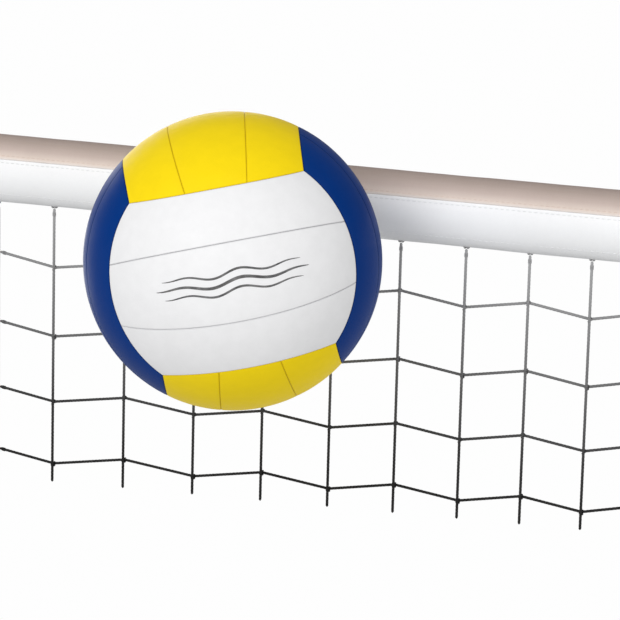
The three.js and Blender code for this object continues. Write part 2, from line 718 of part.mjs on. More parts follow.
function valve() {
  const radius = VALVE_DIAMETER / 2;
  const flange = VALVE_FLANGE_DIAMETER / 2;
  const needle = VALVE_NEEDLE_HOLE / 2;
  const wallOverFlange = Math.sqrt(BLADDER_INNER ** 2 - flange ** 2);
  const flangeTop = wallOverFlange * Math.cos(Math.PI / BALL_RINGS / 2) - GAP;
  const mouth = BALL_RADIUS - 0.4;
  const profile = [
    [needle, flangeTop - VALVE_FLANGE_THICKNESS],
    [flange, flangeTop - VALVE_FLANGE_THICKNESS],
    [flange, flangeTop],
    [radius, flangeTop],
    [radius, mouth],
    [needle, mouth],
    [needle, flangeTop - VALVE_FLANGE_THICKNESS],
  ].map(([r, along]) => new THREE.Vector2(r, along));
  return new THREE.LatheGeometry(profile, 16);
}

// ---------------------------------------------------------------- assembly

function addBand(parent) {
  addPiece(parent, 'foam_core', foamCore(), FINISH.foam);
  const cover = (isUpper) => extrudeAlongX(coverShape(isUpper), -HALF_LENGTH, BAND_LENGTH);
  addPiece(parent, 'upper_cover', cover(true), FINISH.tanCanvas);
  addPiece(parent, 'lower_cover', cover(false), FINISH.whiteVinyl);
  addPiece(parent, 'headline_cable', headlineCable(), FINISH.cable);
  const hemLine = cylinderAlongX(HEM_LINE_DIAMETER / 2, -HALF_LENGTH, BAND_LENGTH, 8);
  hemLine.translate(0, 0, HEM_LINE_Z);
  addPiece(parent, 'hem_line', hemLine, FINISH.netCord);
}

// Everything that both ends have. A half turn about Z makes the -X end.
function addEnd(parent, side) {
  const end = new THREE.Group();
  end.rotation.z = side === 'left' ? Math.PI : 0;
  parent.add(end);
  const pieces = [
    ['end_cap', endCap(), FINISH.whiteVinyl],
    ['ferrule', ferrule(), FINISH.steel],
    ['thimble', thimble(), FINISH.steel],
    ['swivel_eye', swivelEye(), FINISH.steel],
    ['hook_body', hookBody(), FINISH.steel],
    ['gate', gate(), FINISH.steel],
    ['gate_pin', gatePin(), FINISH.steel],
    ['side_band', sideBand(), FINISH.webbing],
    ['dowel', dowel(), FINISH.dowel],
    ['grommet', grommet(), FINISH.brass],
  ];
  for (const [name, geometry, material] of pieces) addPiece(end, `${side}_${name}`, geometry, material);
}

function addMesh(parent) {
  for (let index = -HALF_COUNT; index <= HALF_COUNT; index++) {
    addPiece(parent, `upright_cord_${index + HALF_COUNT + 1}`, uprightCord(index), FINISH.netCord);
  }
  for (let row = 0; row < ROW_COUNT; row++) {
    addPiece(parent, `row_cord_${row + 1}`, rowCord(row), FINISH.netCord);
  }
}

function addBall(parent) {
  const ball = new THREE.Group();
  ball.position.set(BALL_X, -BAND_DEPTH / 2 - BALL_AIR - BALL_RADIUS, BALL_Z);
  ball.rotation.set(BALL_PITCH * DEGREE, BALL_ROLL * DEGREE, BALL_YAW * DEGREE, 'ZXY');
  parent.add(ball);
  for (const group of PANEL_GROUPS) {
    STRIPS.forEach((letter, strip) => {
      const plate = panel(group, strip);
      const holdsValve = group.name === 'back' && letter === 'b';
      const geometry = holdsValve ? cut(plate, valveHole(VALVE_DIAMETER / 2 + GAP)) : plate;
      addPiece(ball, `${group.name}_panel_${letter}`, geometry, group.finish);
    });
  }
  addPiece(ball, 'carcass', hollowBall(CARCASS_RADIUS, CARCASS_THICKNESS), FINISH.carcass);
  addPiece(ball, 'bladder', hollowBall(BLADDER_RADIUS, BLADDER_THICKNESS), FINISH.bladder);
  addPiece(ball, 'valve', valve(), FINISH.valve);
}

addBand(part);
addEnd(part, 'left');
addEnd(part, 'right');
addMesh(part);
addBall(part);

export default part;
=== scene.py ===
"""The looks of a volleyball that hangs in front of a short section of net.

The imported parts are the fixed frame. Each sub-assembly is a class that builds finer meshes
over them, as surfaces worked out with numpy, and dresses them in procedural finishes.
Metres, +Z up. X runs along the net and -Y is the ball's side.
"""

from __future__ import annotations

import logging
import math
from dataclasses import dataclass, field
from enum import Enum
from typing import Iterable, Sequence

import bpy
import numpy as np
from mathutils import Matrix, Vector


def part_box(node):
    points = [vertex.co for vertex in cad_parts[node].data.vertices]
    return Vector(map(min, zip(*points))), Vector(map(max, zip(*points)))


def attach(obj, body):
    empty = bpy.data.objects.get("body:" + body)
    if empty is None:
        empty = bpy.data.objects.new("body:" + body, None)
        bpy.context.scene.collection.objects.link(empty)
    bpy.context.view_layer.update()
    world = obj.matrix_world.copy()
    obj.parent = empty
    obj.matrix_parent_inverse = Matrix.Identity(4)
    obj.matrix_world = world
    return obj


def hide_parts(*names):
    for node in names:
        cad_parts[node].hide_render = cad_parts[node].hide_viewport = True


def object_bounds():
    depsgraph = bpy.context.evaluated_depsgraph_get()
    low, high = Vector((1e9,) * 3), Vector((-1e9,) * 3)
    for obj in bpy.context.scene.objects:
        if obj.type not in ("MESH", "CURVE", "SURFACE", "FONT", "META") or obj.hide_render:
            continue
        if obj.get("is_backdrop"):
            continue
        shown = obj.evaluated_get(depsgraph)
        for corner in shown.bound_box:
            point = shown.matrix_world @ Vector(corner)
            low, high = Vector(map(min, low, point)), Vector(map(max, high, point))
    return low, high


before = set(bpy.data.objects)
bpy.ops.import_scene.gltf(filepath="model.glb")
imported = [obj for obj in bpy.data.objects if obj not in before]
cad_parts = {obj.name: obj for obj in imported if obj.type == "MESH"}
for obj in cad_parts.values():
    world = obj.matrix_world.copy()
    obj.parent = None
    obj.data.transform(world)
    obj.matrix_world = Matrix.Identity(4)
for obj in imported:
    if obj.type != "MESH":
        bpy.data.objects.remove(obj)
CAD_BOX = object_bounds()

Array = np.ndarray
LOG = logging.getLogger("net")
MM = 0.001
WELD = 1e-7  # points closer than this are one
TURN = 2 * math.pi
STITCH_LENGTH = 0.0031
STITCH_RADIUS = 0.00028


class Body(Enum):
    """The bodies that pieces ride on."""

    BAND = "band"
    NET = "net"
    BALL = "ball"
    LEFT_HOOK = "left_hook"
    RIGHT_HOOK = "right_hook"
    LEFT_GATE = "left_gate"
    RIGHT_GATE = "right_gate"


class End(Enum):
    """The two ends of the net, and the way that each points along X."""

    LEFT = -1
    RIGHT = 1

    @property
    def label(self) -> str:
        """The word that starts this end's piece names."""
        return self.name.lower()


# ---------------------------------------------------------------- surfaces


@dataclass
class Surface:
    """Points with the faces between them, before they become a mesh.

    Attributes:
        points: One row each of x, y, z, and of any values that a finish reads.
        faces: Four corners each; a triangle's last corner is -1.
        uv: Each face corner's place on the surface's flat pattern, in metres.
    """

    points: Array
    faces: Array
    uv: Array

    def flipped(self) -> Surface:
        """The same surface facing the other way; a quad (a, b, c, d) becomes (a, d, c, b)."""
        order = np.where(self.faces[:, 3:] < 0, [[0, 2, 1, 3]], [[0, 3, 2, 1]])
        return Surface(
            self.points,
            np.take_along_axis(self.faces, order, 1),
            np.take_along_axis(self.uv, order[:, :, None], 1),
        )

    def welded(self) -> Surface:
        """The surface with coincident points made one, and faces that vanish dropped.

        A quad with two equal neighbours becomes a triangle, so poles and seams close.

        Returns:
            The closed surface.
        """
        key = np.round(self.points[:, :3] / WELD).astype(np.int64)
        _, first, which = np.unique(key, axis=0, return_index=True, return_inverse=True)
        faces = np.where(self.faces < 0, -1, which.reshape(-1)[self.faces])
        quads = faces[:, 3] >= 0
        follow = np.where(quads[:, None], np.roll(faces, -1, 1), faces[:, [1, 2, 0, 3]])
        same = (faces == follow) & (faces >= 0)
        count = same.sum(1)
        order = np.argsort(same, axis=1, kind="stable")
        shrunk = np.take_along_axis(faces, order, 1)
        shrunk[:, 3] = -1
        uv = np.where(
            (count == 1)[:, None, None], np.take_along_axis(self.uv, order[:, :, None], 1), self.uv
        )
        faces = np.where((count == 1)[:, None], shrunk, faces)
        keep = (count == 0) | ((count == 1) & quads)
        keep &= ~((faces[:, 0] == faces[:, 2]) | ((faces[:, 1] == faces[:, 3]) & quads))
        return Surface(self.points[first], faces[keep], uv[keep])

    def outward(self) -> Surface:
        """The closed surface with its faces outwards: its signed volume is made positive."""
        a, b, c, d = (self.points[self.faces[:, i], :3] for i in range(4))
        quads = (self.faces[:, 3] >= 0)[:, None]
        volume = np.sum(a * np.cross(b, c)) + np.sum(a * np.cross(c, d) * quads)
        return self.flipped() if volume < 0 else self


def run_of(points: Array, axis: int) -> Array:
    """The mean distance run along one axis of a grid, with the step that closes it."""
    step = np.linalg.norm(np.roll(points, -1, axis) - points, axis=2).mean(1 - axis)
    return np.concatenate([[0], np.cumsum(step)])


def grid(points: Array, ring_rows: bool = False, ring_columns: bool = False) -> Surface:
    """A surface over a grid of points: the quad at (i, j) joins it to (i + 1, j + 1).

    Args:
        points: The grid, rows by columns by 3, or more where it carries values.
        ring_rows: Whether the last row joins the first.
        ring_columns: Whether the last column joins the first.

    Returns:
        The surface, welded and facing outwards.
    """
    rows, columns = points.shape[:2]
    row, column = np.meshgrid(
        np.arange(rows - (not ring_rows)), np.arange(columns - (not ring_columns)), indexing="ij"
    )
    down = np.stack([row, row, row + 1, row + 1], -1)
    right = np.stack([column, column + 1, column + 1, column], -1)
    faces = ((down % rows) * columns + right % columns).reshape(-1, 4)
    uv = np.stack([run_of(points[..., :3], 1)[right], run_of(points[..., :3], 0)[down]], -1)
    surface = Surface(points.reshape(-1, points.shape[2]), faces, uv.reshape(-1, 4, 2))
    return surface.welded().outward()


def shell(outer: Array, inner: Array) -> Surface:
    """A closed wall between two grids of one size; its first and last rows close flat.

    Args:
        outer: The wall's outer face.
        inner: Its inner face.

    Returns:
        The closed wall.
    """
    middle = (outer + inner) / 2
    wall = np.concatenate([outer, inner[:, ::-1]], 1)
    pinch = np.concatenate([middle, middle[:, ::-1]], 1)
    return grid(np.concatenate([pinch[:1], wall, pinch[-1:]]), ring_columns=True)


def joined(parts: Iterable[Surface]) -> Surface:
    """Several surfaces as one, each keeping its own points.

    Args:
        parts: The surfaces, in order.

    Returns:
        The one surface.
    """
    parts = list(parts)
    starts = np.cumsum([0] + [len(part.points) for part in parts[:-1]])
    faces = [np.where(p.faces < 0, -1, p.faces + start) for p, start in zip(parts, starts)]
    return Surface(
        np.concatenate([part.points for part in parts]),
        np.concatenate(faces),
        np.concatenate([part.uv for part in parts]),
    )


def copies(part: Surface, places: Array) -> Surface:
    """A small surface repeated: each place is 3 by 4, a turn beside a move.

    Args:
        part: The surface, round the origin.
        places: Count by 3 by 4.

    Returns:
        All the copies as one surface.
    """
    count, size = len(places), len(part.points)
    points = np.einsum("nij,pj->npi", places[:, :, :3], part.points) + places[:, None, :, 3]
    shift = (np.arange(count) * size)[:, None, None]
    faces = np.where(part.faces[None] < 0, -1, part.faces[None] + shift)
    return Surface(points.reshape(-1, 3), faces.reshape(-1, 4), np.tile(part.uv, (count, 1, 1)))


def unit(vectors: Array) -> Array:
    """The vectors at length one, along the last axis."""
    return vectors / np.maximum(np.linalg.norm(vectors, axis=-1, keepdims=True), 1e-12)


def ring(count: int) -> Array:
    """Angles round a full turn."""
    return np.arange(count) * TURN / count


def ease(share: Array) -> Array:
    """A smooth step from 0 to 1: 3t^2 - 2t^3, held outside."""
    held = np.clip(share, 0, 1)
    return held * held * (3 - 2 * held)


def clustered(length: float, count: int, near: Sequence[float]) -> Array:
    """Shares from 0 to 1 along a length, with steps at the given distances from both ends.

    Args:
        length: The length, in metres.
        count: Even steps between the end groups.
        near: Distances from an end, rising, in metres.

    Returns:
        The rising shares.
    """
    close = np.asarray(near) / length
    middle = np.linspace(close[-1], 1 - close[-1], count + 1)[1:-1]
    return np.concatenate([close, middle, 1 - close[::-1]])


def distances(path: Array) -> Array:
    """The distance run along a path to each of its points."""
    return np.concatenate([[0], np.cumsum(np.linalg.norm(np.diff(path, axis=0), axis=1))])


def along(path: Array, step: float | None = None, count: int | None = None) -> Array:
    """A path resampled at an even step, or at a count of even steps.

    Args:
        path: Points on the path.
        step: The distance between new points.
        count: How many steps to take, where step isn't given.

    Returns:
        The new points.
    """
    run = distances(path)
    steps = count or max(2, round(run[-1] / step))
    at = np.linspace(0, run[-1], steps + 1)
    return np.stack([np.interp(at, run, path[:, i]) for i in range(3)], -1)


def smooth_path(knots: Array, per_span: int = 12) -> Array:
    """A curve through knots: each span is the cubic with slopes (next - last) / 2.

    Args:
        knots: The points to pass through.
        per_span: Steps in each span.

    Returns:
        The points of the curve.
    """
    slope = np.gradient(knots, axis=0)
    t = (np.arange(per_span) / per_span)[None, :, None]
    a, b, va, vb = knots[:-1, None], knots[1:, None], slope[:-1, None], slope[1:, None]
    curve = (
        (2 * t**3 - 3 * t**2 + 1) * a + (t**3 - 2 * t**2 + t) * va
        + (3 * t**2 - 2 * t**3) * b + (t**3 - t**2) * vb
    )
    return np.concatenate([curve.reshape(-1, 3), knots[-1:]])


def sweep(path: Array, section: Array, closed: bool = False,
          side: Sequence[float] = (0, 1, 0)) -> Array:
    """A section carried along a flat path: point + s0 * side + s1 * (heading x side).

    Args:
        path: Points in a plane that `side` stands on.
        section: Columns by 2, or rows by columns by 2.
        closed: Whether the path is a loop.
        side: The direction that stays across the path.

    Returns:
        The grid, path points by section points.
    """
    if closed:
        heading = np.roll(path, -1, 0) - np.roll(path, 1, 0)
    else:
        heading = np.gradient(path, axis=0)
    across = np.asarray(side, float)
    up = np.cross(unit(heading), across)
    section = np.broadcast_to(section, (len(path), *section.shape[-2:]))
    return path[:, None] + section[..., :1] * across + section[..., 1:] * up[:, None]


def capped(points: Array) -> Array:
    """A grid with a row of its middle point before the first row and after the last one."""
    ends = points[[0, -1]].mean(1, keepdims=True) * np.ones((1, points.shape[1], 1))
    return np.concatenate([ends[:1], points, ends[1:]])


def run_closed(points: Array) -> Surface:
    """A closed surface from a grid of sections along a run, with its two ends filled."""
    return grid(capped(points), ring_columns=True)


def lathe(profile: Array, axis: Sequence[float], origin: Sequence[float], sides: int) -> Array:
    """A profile turned about an axis: origin + a * axis + r * (cos t * u + sin t * w).

    Args:
        profile: Rows of distance along the axis and radius.
        axis: The axis's direction.
        origin: A point on the axis.
        sides: Points round a turn.

    Returns:
        The grid, profile points by sides.
    """
    n = unit(np.asarray(axis, float))
    u = unit(np.cross(n, [0, 0, 1] if abs(n[2]) < 0.9 else [1, 0, 0]))
    w = np.cross(n, u)
    t = ring(sides)[:, None]
    round_it = np.cos(t) * u + np.sin(t) * w
    return np.asarray(origin) + profile[:, None, :1] * n + profile[:, None, 1:] * round_it


def rounded(width: float, height: float, power: float, count: int) -> Array:
    """A rounded rectangle: half sizes times |cos|^(2/power) and |sin|^(2/power), signed.

    Args:
        width: The whole width.
        height: The whole height.
        power: 2 for an ellipse, and more for squarer corners.
        count: Points round it.

    Returns:
        The outline, count by 2.
    """
    t = ring(count)
    shape = np.stack([np.cos(t), np.sin(t)], -1)
    return np.sign(shape) * np.abs(shape) ** (2 / power) * np.array([width, height]) / 2


def stadium(x0: float, x1: float, radius: float, count: int) -> Array:
    """An outline in (X, Z) with half-round ends of a radius between two centres.

    Args:
        x0: The lower centre.
        x1: The upper centre.
        radius: The ends' radius.
        count: Points round each end.

    Returns:
        The outline.
    """
    t = np.linspace(-math.pi / 2, math.pi / 2, count)
    right = np.stack([x1 + radius * np.cos(t), radius * np.sin(t)], -1)
    left = np.stack([x0 - radius * np.cos(t), -radius * np.sin(t)], -1)
    return np.concatenate([right, left])


def plate(outline: Array, y0: float, y1: float, edge: float) -> Surface:
    """A flat plate across Y with rounded edges, from an outline in (X, Z).

    Each layer is the outline shrunk towards its middle by the edge's quarter circle.

    Args:
        outline: Points in (X, Z).
        y0: The plate's lower face.
        y1: The plate's upper face.
        edge: The radius of its edges.

    Returns:
        The closed plate.
    """
    middle = outline.mean(0)
    t = np.linspace(0, math.pi / 2, 4)
    inset = np.concatenate([edge * (1 - np.sin(t)), edge * (1 - np.cos(t))])
    height = np.concatenate([y0 + edge * (1 - np.cos(t)), y1 - edge * (1 - np.sin(t))])
    reach = np.linalg.norm(outline - middle, axis=1)
    scale = 1 - inset[:, None] / reach
    flat = middle + (outline - middle) * scale[..., None]
    level = np.broadcast_to(height[:, None], scale.shape)
    points = np.stack([flat[..., 0], level, flat[..., 1]], -1)
    return run_closed(points)


def placements(points: Array, headings: Array, normals: Array) -> Array:
    """Turns and moves that lay a small shape's X along the headings and its Z up the normals.

    Args:
        points: Where the shapes go.
        headings: Where each one's X points.
        normals: Where each one's Z points.

    Returns:
        The places, count by 3 by 4.
    """
    x = unit(np.broadcast_to(headings, points.shape))
    y = unit(np.cross(normals, x))
    return np.stack([x, y, np.cross(x, y), points], -1)


def moved(points: Array) -> Array:
    """Places that move a small shape to each point without a turn."""
    places = np.zeros((len(points), 3, 4))
    places[:, :, :3], places[:, :, 3] = np.eye(3), points
    return places


def strand(path: Array, heading: Array, out: Array, radius: float, sides: int) -> Array:
    """A round strand: point + radius * (cos s * out + sin s * (heading x out)).

    Args:
        path: The points along its middle.
        heading: The path's direction at each.
        out: A direction across the path at each.
        radius: The strand's radius.
        sides: Points round it.

    Returns:
        The grid, path points by sides.
    """
    side = np.cross(heading, out)
    s = ring(sides)[None, :, None]
    return path[:, None] + radius * (np.cos(s) * out[:, None] + np.sin(s) * side[:, None])


def stitch(length: float, radius: float) -> Surface:
    """A sewn stitch along X: a six-sided thread that dips at both ends by a sine."""
    t = np.linspace(0, math.pi, 5)
    path = np.stack([-np.cos(t) * length / 2, 0 * t, radius * 1.2 * (np.sin(t) - 0.6)], -1)
    sides = np.stack([np.cos(ring(6)), np.sin(ring(6))], -1)
    section = sides[None] * (radius * (0.45 + 0.55 * np.sin(t)))[:, None, None]
    return run_closed(sweep(path, section))


def bored(made: bpy.types.Object, centre: Array, axis: Array, radius: float) -> None:
    """Cuts a round hole through a piece.

    Args:
        made: The piece.
        centre: A point on the hole's axis, in the middle of the piece's wall.
        axis: The hole's direction.
        radius: Its radius.
    """
    reach = 0.008
    profile = np.array([[-reach, 0], [-reach, radius], [reach, radius], [reach, 0]])
    drill = grid(lathe(profile, axis, centre, 32), ring_columns=True)
    mesh = bpy.data.meshes.new("drill")
    faces = [[c for c in f if c >= 0] for f in drill.faces.tolist()]
    mesh.from_pydata(drill.points.tolist(), [], faces)
    tool = bpy.data.objects.new("drill", mesh)
    bpy.context.scene.collection.objects.link(tool)
    cut = made.modifiers.new("bore", "BOOLEAN")
    cut.object, cut.operation, cut.solver = tool, "DIFFERENCE", "EXACT"
    graph = bpy.context.evaluated_depsgraph_get()
    done = bpy.data.meshes.new_from_object(made.evaluated_get(graph))
    made.modifiers.clear()
    made.data = done
    bpy.data.objects.remove(tool)


def toward(end: End, surface: Surface) -> Surface:
    """A surface made for the +X end, given a half turn about Z for the other one."""
    if end is End.RIGHT:
        return surface
    return Surface(surface.points * [-1, -1, 1], surface.faces, surface.uv)


# ---------------------------------------------------------------- pieces


def piece(name: str, surface: Surface, finish: Finish, body: Body, *,
          replaces: Sequence[str] = (), values: Sequence[str] = (),
          smooth: float = 40) -> bpy.types.Object:
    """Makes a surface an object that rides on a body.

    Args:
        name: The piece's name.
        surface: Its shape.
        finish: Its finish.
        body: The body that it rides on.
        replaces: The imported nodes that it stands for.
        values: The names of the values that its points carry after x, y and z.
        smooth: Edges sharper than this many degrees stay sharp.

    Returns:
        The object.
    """
    mesh = bpy.data.meshes.new(name)
    quads = surface.faces[:, 3] >= 0
    used = surface.faces >= 0
    sizes = used.sum(1)
    corners = surface.faces[used]
    mesh.vertices.add(len(surface.points))
    mesh.vertices.foreach_set("co", surface.points[:, :3].astype(np.float32).ravel())
    mesh.loops.add(len(corners))
    mesh.loops.foreach_set("vertex_index", corners.astype(np.int32))
    mesh.polygons.add(len(quads))
    starts = np.concatenate([[0], np.cumsum(sizes)[:-1]])
    mesh.polygons.foreach_set("loop_start", starts.astype(np.int32))
    mesh.polygons.foreach_set("use_smooth", np.ones(len(quads), bool))
    layer = mesh.uv_layers.new(name="UVMap")
    layer.data.foreach_set("uv", surface.uv[used].astype(np.float32).ravel())
    for column, label in enumerate(values, 3):
        attribute = mesh.attributes.new(label, "FLOAT", "POINT")
        attribute.data.foreach_set("value", surface.points[:, column].astype(np.float32))
    mesh.update(calc_edges=True)
    mesh.set_sharp_from_angle(angle=math.radians(smooth))
    mesh.materials.append(finish.material())
    made = bpy.data.objects.new(name, mesh)
    bpy.context.scene.collection.objects.link(made)
    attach(made, body.value)
    if replaces:
        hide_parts(*replaces)
    LOG.info("%s: %d faces, on %s", name, len(quads), body.value)
    return made


# ---------------------------------------------------------------- finishes


class Shade:
    """Adds nodes to a material's tree or a group's, with their inputs given by name."""

    def __init__(self, tree: bpy.types.NodeTree) -> None:
        """Works on one node tree."""
        self.tree = tree

    def node(self, kind: str, inputs: dict | None = None, **settings: object) -> bpy.types.Node:
        """Adds a node.

        Args:
            kind: The node's type, without its ShaderNode prefix.
            inputs: A value or a socket for each named or numbered input.
            **settings: The node's own settings.

        Returns:
            The node.
        """
        made = self.tree.nodes.new("ShaderNode" + kind)
        for name, value in settings.items():
            setattr(made, name, value)
        for name, value in (inputs or {}).items():
            if isinstance(value, bpy.types.NodeSocket):
                self.tree.links.new(value, made.inputs[name])
            else:
                made.inputs[name].default_value = value
        return made

    def math(self, operation: str, *values: object) -> bpy.types.NodeSocket:
        """A math node's result."""
        return self.node("Math", dict(enumerate(values)), operation=operation).outputs[0]

    def mapped(self, value: object, low: float, high: float, to_low: object = 0.0,
               to_high: object = 1.0) -> bpy.types.NodeSocket:
        """A value moved from one range to another, held at its ends.

        Args:
            value: A socket or a number.
            low: The range's start.
            high: The range's end.
            to_low: What the start becomes.
            to_high: What the end becomes.

        Returns:
            The moved value.
        """
        names = ("Value", "From Min", "From Max", "To Min", "To Max")
        made = self.node("MapRange", dict(zip(names, (value, low, high, to_low, to_high))))
        return made.outputs[0]

    def blend(self, share: object, first: object, second: object,
              mode: str = "MIX") -> bpy.types.NodeSocket:
        """Two colours mixed by a share.

        Args:
            share: How much of the second colour.
            first: The first colour.
            second: The second colour.
            mode: How they mix.

        Returns:
            The mixed colour.
        """
        made = self.node("Mix", data_type="RGBA", blend_type=mode)
        for index, value in ((0, share), (6, first), (7, second)):
            if isinstance(value, bpy.types.NodeSocket):
                self.tree.links.new(value, made.inputs[index])
            else:
                made.inputs[index].default_value = value
        return made.outputs[2]

    def ramp(self, value: object, stops: Sequence[tuple[float, tuple]]) -> bpy.types.NodeSocket:
        """A colour for a value, from stops of a place and a colour.

        Args:
            value: The value to look up.
            stops: Places, rising, and their colours.

        Returns:
            The colour.
        """
        made = self.node("ValToRGB", {"Fac": value})
        elements = made.color_ramp.elements
        while len(elements) < len(stops):
            elements.new(0.5)
        for element, (place, shade) in zip(elements, stops):
            element.position = place
            element.color = shade
        return made.outputs[0]

    def noise(self, vector: object, scale: object, detail: float = 3.0,
              rough: float = 0.5) -> bpy.types.NodeSocket:
        """Cloudy noise, about 0.5."""
        inputs = {"Vector": vector, "Scale": scale, "Detail": detail, "Roughness": rough}
        return self.node("TexNoise", inputs).outputs["Fac"]

    def bump(self, height: object, distance: float, strength: float = 1.0,
             normal: object = None) -> bpy.types.NodeSocket:
        """A normal from a height in the range 0 to 1 times a distance in metres.

        Args:
            height: The height.
            distance: How far a height of 1 stands out.
            strength: How much of the bump shows.
            normal: A normal to start from.

        Returns:
            The bumped normal.
        """
        inputs = {"Height": height, "Distance": distance, "Strength": strength}
        if normal is not None:
            inputs["Normal"] = normal
        return self.node("Bump", inputs).outputs[0]

    def group(self, tree: bpy.types.NodeTree, **inputs: object) -> bpy.types.Node:
        """Places a shared group, with its inputs by name, underscores for spaces.

        Args:
            tree: The shared group.
            inputs: A value or socket for each named input.

        Returns:
            The placed node.
        """
        made = self.tree.nodes.new("ShaderNodeGroup")
        made.node_tree = tree
        for name, value in inputs.items():
            socket = made.inputs[name.replace("_", " ")]
            if isinstance(value, bpy.types.NodeSocket):
                self.tree.links.new(value, socket)
            else:
                socket.default_value = value
        return made


def rgb(red: int, green: int, blue: int) -> tuple[float, float, float, float]:
    """A colour from its screen values, 0 to 255, as linear light.

    Args:
        red: The red value.
        green: The green value.
        blue: The blue value.

    Returns:
        The linear colour, with an alpha of 1.
    """
    share = np.array([red, green, blue]) / 255
    low, high = share / 12.92, ((share + 0.055) / 1.055) ** 2.4
    return (*np.where(share <= 0.04045, low, high).tolist(), 1.0)


class Effects:
    """The shader groups that several finishes share, each built when first asked for."""

    _made: dict[str, bpy.types.NodeTree] = {}

    @classmethod
    def _new(cls, name: str, inputs: dict[str, tuple[str, float]],
             outputs: Sequence[str]) -> tuple[Shade, dict, bpy.types.Node]:
        """Starts a group.

        Args:
            name: The group's name.
            inputs: Each input's socket type and first value.
            outputs: The names of its outputs, all values.

        Returns:
            Its shade, its input sockets by name and its output node.
        """
        tree = bpy.data.node_groups.new(name, "ShaderNodeTree")
        for label, (kind, value) in inputs.items():
            socket = tree.interface.new_socket(label, in_out="INPUT", socket_type=kind)
            if kind == "NodeSocketFloat":
                socket.default_value = value
        for label in outputs:
            tree.interface.new_socket(label, in_out="OUTPUT", socket_type="NodeSocketFloat")
        shade = Shade(tree)
        start = tree.nodes.new("NodeGroupInput")
        end = tree.nodes.new("NodeGroupOutput")
        cls._made[name] = tree
        return shade, {socket.name: socket for socket in start.outputs if socket.name}, end

    @classmethod
    def grain(cls) -> bpy.types.NodeTree:
        """Fine rounded grain, as on synthetic leather: cells of one size over finer noise.

        Returns:
            The group, with outputs Height and Tone.
        """
        if "grain" in cls._made:
            return cls._made["grain"]
        inputs = {"Vector": ("NodeSocketVector", 0), "Size": ("NodeSocketFloat", 0.0009)}
        shade, given, end = cls._new("grain", inputs, ("Height", "Tone"))
        scale = shade.math("DIVIDE", 1.0, given["Size"])
        cells = shade.node("TexVoronoi", {"Vector": given["Vector"], "Scale": scale},
                           feature="SMOOTH_F1")
        fine = shade.noise(given["Vector"], shade.math("MULTIPLY", scale, 2.3), 2.0)
        height = shade.math("ADD", shade.math("SUBTRACT", 1.0, cells.outputs["Distance"]),
                            shade.math("MULTIPLY", fine, 0.35))
        tone = shade.noise(given["Vector"], shade.math("MULTIPLY", scale, 0.12), 4.0, 0.6)
        shade.tree.links.new(height, end.inputs["Height"])
        shade.tree.links.new(tone, end.inputs["Tone"])
        return shade.tree

    @classmethod
    def weave(cls) -> bpy.types.NodeTree:
        """Plain weave: ribs |sin(pi u)| and |sin(pi v)| that take turns on top.

        Returns:
            The group, with outputs Height and Fleck; its Vector is a pattern place in metres.
        """
        if "weave" in cls._made:
            return cls._made["weave"]
        inputs = {"Vector": ("NodeSocketVector", 0), "Thread": ("NodeSocketFloat", 0.0005)}
        shade, given, end = cls._new("weave", inputs, ("Height", "Fleck"))
        place = shade.node("SeparateXYZ", {0: given["Vector"]})
        waves = [
            shade.math("SINE", shade.math("MULTIPLY", shade.math(
                "DIVIDE", place.outputs[i], given["Thread"]), math.pi)) for i in (0, 1)
        ]
        ribs = [shade.math("ABSOLUTE", wave) for wave in waves]
        turn = shade.math("GREATER_THAN", shade.math("MULTIPLY", *waves), 0.0)
        other = shade.math("SUBTRACT", 1.0, turn)
        height = shade.math("ADD", shade.math("MULTIPLY", ribs[0], turn),
                            shade.math("MULTIPLY", ribs[1], other))
        stretched = shade.node("VectorMath", {0: given["Vector"], 1: (60.0, 1400.0, 1.0)},
                               operation="MULTIPLY")
        crossed = shade.node("VectorMath", {0: given["Vector"], 1: (1400.0, 60.0, 1.0)},
                             operation="MULTIPLY")
        threads = [shade.noise(v.outputs[0], 1.0, 2.0) for v in (stretched, crossed)]
        fleck = shade.math("MULTIPLY", shade.math("ADD", *threads), 0.5)
        shade.tree.links.new(height, end.inputs["Height"])
        shade.tree.links.new(fleck, end.inputs["Fleck"])
        return shade.tree

    @classmethod
    def soil(cls) -> bpy.types.NodeTree:
        """Uneven dirt and fading: slow noise, pushed by a share that says where it gathers.

        Returns:
            The group, with the output Mask.
        """
        if "soil" in cls._made:
            return cls._made["soil"]
        inputs = {"Vector": ("NodeSocketVector", 0), "Size": ("NodeSocketFloat", 0.05),
                  "Where": ("NodeSocketFloat", 0.5)}
        shade, given, end = cls._new("soil", inputs, ("Mask",))
        scale = shade.math("DIVIDE", 1.0, given["Size"])
        clouds = shade.noise(given["Vector"], scale, 5.0, 0.62)
        pushed = shade.math("ADD", clouds, shade.math("SUBTRACT", given["Where"], 0.5))
        shade.tree.links.new(shade.mapped(pushed, 0.42, 0.78), end.inputs["Mask"])
        return shade.tree

    @classmethod
    def scuffs(cls) -> bpy.types.NodeTree:
        """Fine straight scratches: noise drawn out a hundred times longer than wide.

        Returns:
            The group, with the output Mask.
        """
        if "scuffs" in cls._made:
            return cls._made["scuffs"]
        inputs = {"Vector": ("NodeSocketVector", 0)}
        shade, given, end = cls._new("scuffs", inputs, ("Mask",))
        long = shade.node("Mapping", {"Vector": given["Vector"], "Scale": (40.0, 2600.0, 2600.0),
                                      "Rotation": (0.1, 0.25, 0.12)})
        lines = shade.noise(long.outputs[0], 1.0, 3.0, 0.7)
        shade.tree.links.new(shade.mapped(lines, 0.5, 0.72), end.inputs["Mask"])
        return shade.tree


